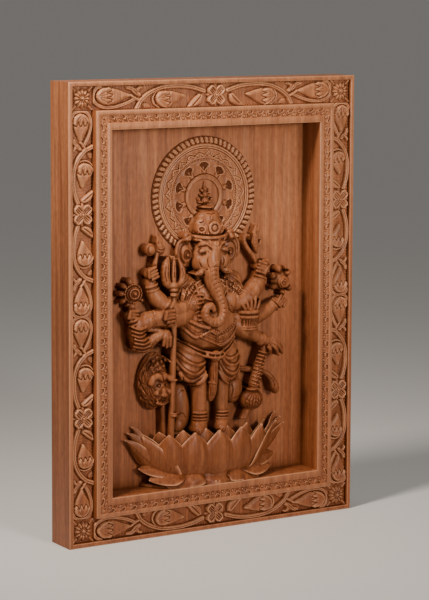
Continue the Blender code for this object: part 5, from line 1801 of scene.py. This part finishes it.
def carve_mask(w):
    """A shield in the shape of a maned animal's head, hung below the left arms."""
    centre = np.array([-0.169, 0.296])
    w.ball(centre[0], centre[1], 0.14, (0.05, 0.28, 0.081), tilt=-4, blend=0.6, web=0.86)
    w.ball(-0.17, 0.29, 0.32, (0.044, 0.22, 0.062), tilt=-4, blend=1.0)
    w.ball(-0.158, 0.268, 0.48, (0.03, 0.15, 0.036), blend=0.8)
    w.limb(((-0.144, 0.232, 0.28, 0.009), (-0.142, 0.195, 0.3, 0.0085), (-0.14, 0.145, 0.32, 0.009)), 0.5,
        0.9)
    w.look()
    strands = []
    for ring, reach in enumerate((0.95, 0.84, 0.72, 0.6, 0.49)):
        for part in range(7):
            start = math.radians(48 + 33 * part + 17 * (ring % 2) + 5 * math.sin(3.1 * part + ring))
            turn = np.linspace(start, start + math.radians(38), 7)
            mix = np.linspace(0, 1, 7)
            wave = reach * (1.0 - 0.1 * mix + 0.03 * np.sin(6.0 * mix + 1.7 * part + ring))
            u = 0.049 * wave * np.cos(turn)
            v = 0.079 * wave * np.sin(turn)
            line = np.stack([centre[0] + u + 0.05 * v, centre[1] + v], axis=-1)
            if line[:, 0].max() < -0.122:
                strands.append(line)
    for line in strands:
        w.trace(line, 1.45, 0.2, blend=0.3)
    w.look()
    for line in strands:
        w.grooves([line + (0.0022, 0.0016), line - (0.0028, 0.0022)], 0.5, 0.0)
    for row in range(3):
        for spot in range(5 - row):
            across = -0.196 + 0.013 * spot + 0.006 * row
            up = 0.352 - 0.013 * row + 0.004 * math.sin(2.1 * spot)
            w.ball(across, up, 0.44 + 0.03 * row, (0.0058, 0.06, 0.0052), tilt=25 * spot, blend=0.3)
    w.look()
    w.trace(((-0.196, 0.296), (-0.188, 0.31), (-0.172, 0.314), (-0.16, 0.306), (-0.149, 0.312),
        (-0.133, 0.303)), 2.8, 0.35, blend=0.5)
    w.look()
    w.ball(-0.159, 0.268, 0.64, (0.0085, 0.1, 0.015), blend=0.5)
    w.ball(-0.159, 0.262, 0.7, (0.0105, 0.07, 0.0065), blend=0.3)
    for side in (-1, 1):
        w.ball(-0.159 + side * 0.0125, 0.2885, 0.66, (0.0085, 0.14, 0.0058), tilt=-14 * side, blend=0.3,
            hollow=True)
        w.ball(-0.159 + side * 0.012, 0.2875, 0.56, (0.004, 0.08, 0.0038), blend=0.1)
        w.ball(-0.159 + side * 0.0185, 0.268, 0.54, (0.011, 0.12, 0.011), blend=0.6)
    w.look()
    w.ball(-0.158, 0.2475, 0.66, (0.017, 0.16, 0.0052), blend=0.3, hollow=True)
    w.grooves([((-0.184, 0.262), (-0.174, 0.253), (-0.159, 0.256), (-0.144, 0.253), (-0.134, 0.261))], 0.6)
    w.trace(((-0.176, 0.24), (-0.158, 0.235), (-0.142, 0.24)), 1.4, 0.2, blend=0.3)
    w.look()
    w.grooves([((-0.186, 0.324), (-0.168, 0.328), (-0.15, 0.324)), ((-0.178, 0.228), (-0.16, 0.222),
        (-0.142, 0.228)), ((-0.163, 0.322), (-0.16, 0.308), (-0.159, 0.296))], 0.55)


left_arms = Carving((-0.305, 0.13), (-0.05, 0.705), CARVING_STEP)
carve_left_arms(left_arms)
carve_left_arms_ornament(left_arms)
carve_mask(left_arms)
skin_piece("left_arms_and_shield", left_arms, LEFT_ARMS_TRIANGLES, LEFT_ARMS_DARKENING)


# The four arms at the right, with a curled leaf, a blade, a flower, an open palm over a fluted
# cuff and a ribbed mace with its strap, cut and webbed to the recess floor in the same way.

RIGHT_ARMS_TRIANGLES = 115000
RIGHT_ARMS_DARKENING = 0.16


def carve_right_arms(w):
    w.limb(((0.075, 0.505, 0.34, 0.03), (0.1, 0.5, 0.4, 0.029), (0.127, 0.518, 0.42, 0.0275),
        (0.152, 0.54, 0.42, 0.0245), (0.165, 0.562, 0.41, 0.0185), (0.167, 0.578, 0.41, 0.0155)), 1.2)
    carve_fist(w, 0.167, 0.593, 0.44, 0.0205, 160)
    w.limb(((0.157, 0.604, 0.44, 0.0068), (0.14, 0.63, 0.42, 0.0068), (0.123, 0.652, 0.4, 0.0066),
        (0.115, 0.672, 0.38, 0.0058), (0.121, 0.685, 0.37, 0.005), (0.132, 0.684, 0.36, 0.004)), 0.3)
    w.limb(((0.157, 0.638, 0.34, 0.0072), (0.152, 0.662, 0.34, 0.0105), (0.155, 0.688, 0.32, 0.01),
        (0.16, 0.714, 0.3, 0.0026)), 0.3)
    w.limb(((0.158, 0.65, 0.32, 0.006), (0.168, 0.66, 0.34, 0.0066), (0.176, 0.668, 0.32, 0.004)), 0.3)
    w.limb(((0.154, 0.69, 0.32, 0.0055), (0.164, 0.698, 0.34, 0.005), (0.167, 0.708, 0.32, 0.0028)), 0.3)
    w.limb(((0.176, 0.6, 0.38, 0.008), (0.19, 0.608, 0.38, 0.0095), (0.198, 0.6, 0.36, 0.005)), 0.4)
    w.limb(((0.085, 0.455, 0.34, 0.028), (0.12, 0.45, 0.44, 0.027), (0.156, 0.458, 0.46, 0.0225),
        (0.19, 0.472, 0.46, 0.019), (0.216, 0.49, 0.45, 0.0155)), 1.2)
    carve_fist(w, 0.231, 0.491, 0.46, 0.0185, 50)
    w.ball(0.24, 0.551, 0.26, (0.027, 0.2, 0.029), blend=0.3, web=0.9)
    w.ball(0.244, 0.545, 0.42, (0.019, 0.14, 0.019), blend=0.3)
    for across, up, wide, lean in ((0.213, 0.565, 0.0105, 30), (0.232, 0.583, 0.0125, 80),
            (0.262, 0.571, 0.012, 40), (0.266, 0.528, 0.0125, -50), (0.244, 0.515, 0.011, -80),
            (0.217, 0.533, 0.011, 200), (0.252, 0.586, 0.007, 60)):
        w.ball(across, up, 0.34, (wide, 0.17, 0.78 * wide), tilt=lean, blend=0.25, web=0.85)
    w.limb(((0.084, 0.44, 0.36, 0.026), (0.104, 0.424, 0.44, 0.026), (0.12, 0.42, 0.48, 0.0265),
        (0.119, 0.446, 0.5, 0.0295), (0.118, 0.47, 0.5, 0.029)), 1.0)
    w.ball(0.121, 0.481, 0.58, (0.025, 0.14, 0.012), blend=0.5, web=0.6)
    for root, tip, rise, wide in ((0.11, 0.105, 0.512, 0.0052), (0.1195, 0.1205, 0.521, 0.0054),
            (0.129, 0.137, 0.518, 0.0052), (0.138, 0.152, 0.506, 0.005), (0.102, 0.089, 0.5, 0.0048)):
        w.limb(((root, 0.478, 0.74, wide), (0.5 * (root + tip), 0.5 * (0.478 + rise), 0.75, wide),
            (tip, rise, 0.7, 0.6 * wide)), 0.05)
    w.limb(((0.12, 0.418, 0.5, 0.023), (0.145, 0.401, 0.55, 0.018), (0.168, 0.389, 0.6, 0.014),
        (0.188, 0.38, 0.62, 0.015), (0.2, 0.373, 0.62, 0.013)), 0.8)
    for start, end, wide in (((0.192, 0.39), (0.23, 0.36), 0.0056), ((0.194, 0.381), (0.231, 0.346),
            0.0058), ((0.19, 0.372), (0.218, 0.341), 0.0056), ((0.18, 0.368), (0.188, 0.346), 0.0062)):
        w.limb(((start[0], start[1], 0.74, wide), (0.5 * (start[0] + end[0]),
            0.5 * (start[1] + end[1]) + 0.004, 0.76, wide), (end[0], end[1], 0.64, 0.75 * wide)), 0.05)
    w.limb(((0.174, 0.372, 0.54, 0.012), (0.168, 0.345, 0.54, 0.0125), (0.154, 0.305, 0.54, 0.014),
        (0.142, 0.262, 0.52, 0.015)), 0.3)
    w.ball(0.139, 0.218, 0.42, (0.0365, 0.32, 0.031), blend=0.4, web=0.8)
    w.ball(0.141, 0.25, 0.52, (0.023, 0.18, 0.0065), tilt=4, blend=0.3, web=0.8)
    w.limb(((0.128, 0.192, 0.4, 0.014), (0.117, 0.172, 0.4, 0.012), (0.113, 0.152, 0.4, 0.019)), 0.6, 0.8)
    w.limb(((0.17, 0.298, 0.4, 0.0066), (0.19, 0.289, 0.4, 0.0078), (0.206, 0.272, 0.42, 0.0098),
        (0.216, 0.25, 0.42, 0.014), (0.221, 0.238, 0.4, 0.0125)), 0.2, 0.8)
    w.limb(((0.084, 0.312, 0.3, 0.007), (0.12, 0.306, 0.34, 0.0082), (0.152, 0.3, 0.38, 0.008)), 0.3)


def carve_right_arms_ornament(w):
    w.bangles((0.16, 0.554), (0.165, 0.566), 2, 0.02, 1.25, 0.41)
    w.bangles((0.124, 0.514), (0.134, 0.523), 2, 0.0275, 1.1, 0.42)
    w.bangles((0.208, 0.482), (0.215, 0.488), 2, 0.0175, 1.2, 0.45)
    w.bangles((0.118, 0.459), (0.118, 0.472), 2, 0.031, 1.9, 0.5)
    w.bangles((0.118, 0.424), (0.118, 0.431), 2, 0.029, 1.2, 0.49)
    w.bangles((0.157, 0.394), (0.166, 0.389), 3, 0.018, 1.0, 0.55)
    w.look()
    w.grooves([((0.094 + 0.007 * k, 0.434), (0.093 + 0.0072 * k, 0.455)) for k in range(8)], 0.85, 0.0)
    w.bangles((0.169, 0.352), (0.143, 0.264), 10, 0.015, 0.9, 0.53)
    w.look()
    for index in range(11):
        mix = index / 10
        middle = np.array([0.169 - 0.026 * mix, 0.35 - 0.084 * mix])
        w.grooves([(middle + (0.013, 0.004), middle - (0.013, 0.006))], 0.4)
    ridges = []
    for index in range(-3, 4):
        bend = 0.01 * index
        ridges.append(((0.143 + 0.3 * bend, 0.245), (0.139 + bend, 0.218), (0.133 + 0.3 * bend, 0.191)))
    w.grooves(ridges, 0.5)
    for drop in (0.0, 0.012, 0.024):
        w.grooves([((0.108, 0.228 - drop), (0.124, 0.216 - drop), (0.139, 0.226 - drop),
            (0.155, 0.214 - drop), (0.17, 0.224 - drop))], 0.4)
    w.grooves([((0.186, 0.286), (0.205, 0.268), (0.214, 0.246)), ((0.096, 0.308), (0.128, 0.305),
        (0.148, 0.301))], 0.5)
    w.grooves([((0.103, 0.156), (0.114, 0.163), (0.125, 0.155)), ((0.1, 0.148), (0.114, 0.154),
        (0.128, 0.147))], 0.5)
    spiral = [(0.243 + 0.003 * t * math.cos(t), 0.548 + 0.003 * t * math.sin(t)) for t in np.linspace(0.6,
        6.9, 16)]
    w.trace(spiral, 0.9, 0.35)
    w.look()
    w.grooves([[(x + 0.0024, z + 0.0016) for x, z in spiral]], 0.45)
    for index in range(9):
        angle = 0.4 + 2 * math.pi * index / 9
        ray = np.array([math.cos(angle), math.sin(angle)])
        w.grooves([(np.array([0.24, 0.551]) + 0.024 * ray, np.array([0.24, 0.551]) + 0.036 * ray)], 0.45)
    w.grooves([((0.153, 0.652), (0.152, 0.676), (0.157, 0.704)), ((0.16, 0.66), (0.161, 0.68),
        (0.16, 0.696))], 0.45)


right_arms = Carving((0.045, 0.165), (0.29, 0.722), CARVING_STEP)
carve_right_arms(right_arms)
carve_right_arms_ornament(right_arms)
skin_piece("right_arms_and_mace", right_arms, RIGHT_ARMS_TRIANGLES, RIGHT_ARMS_DARKENING)
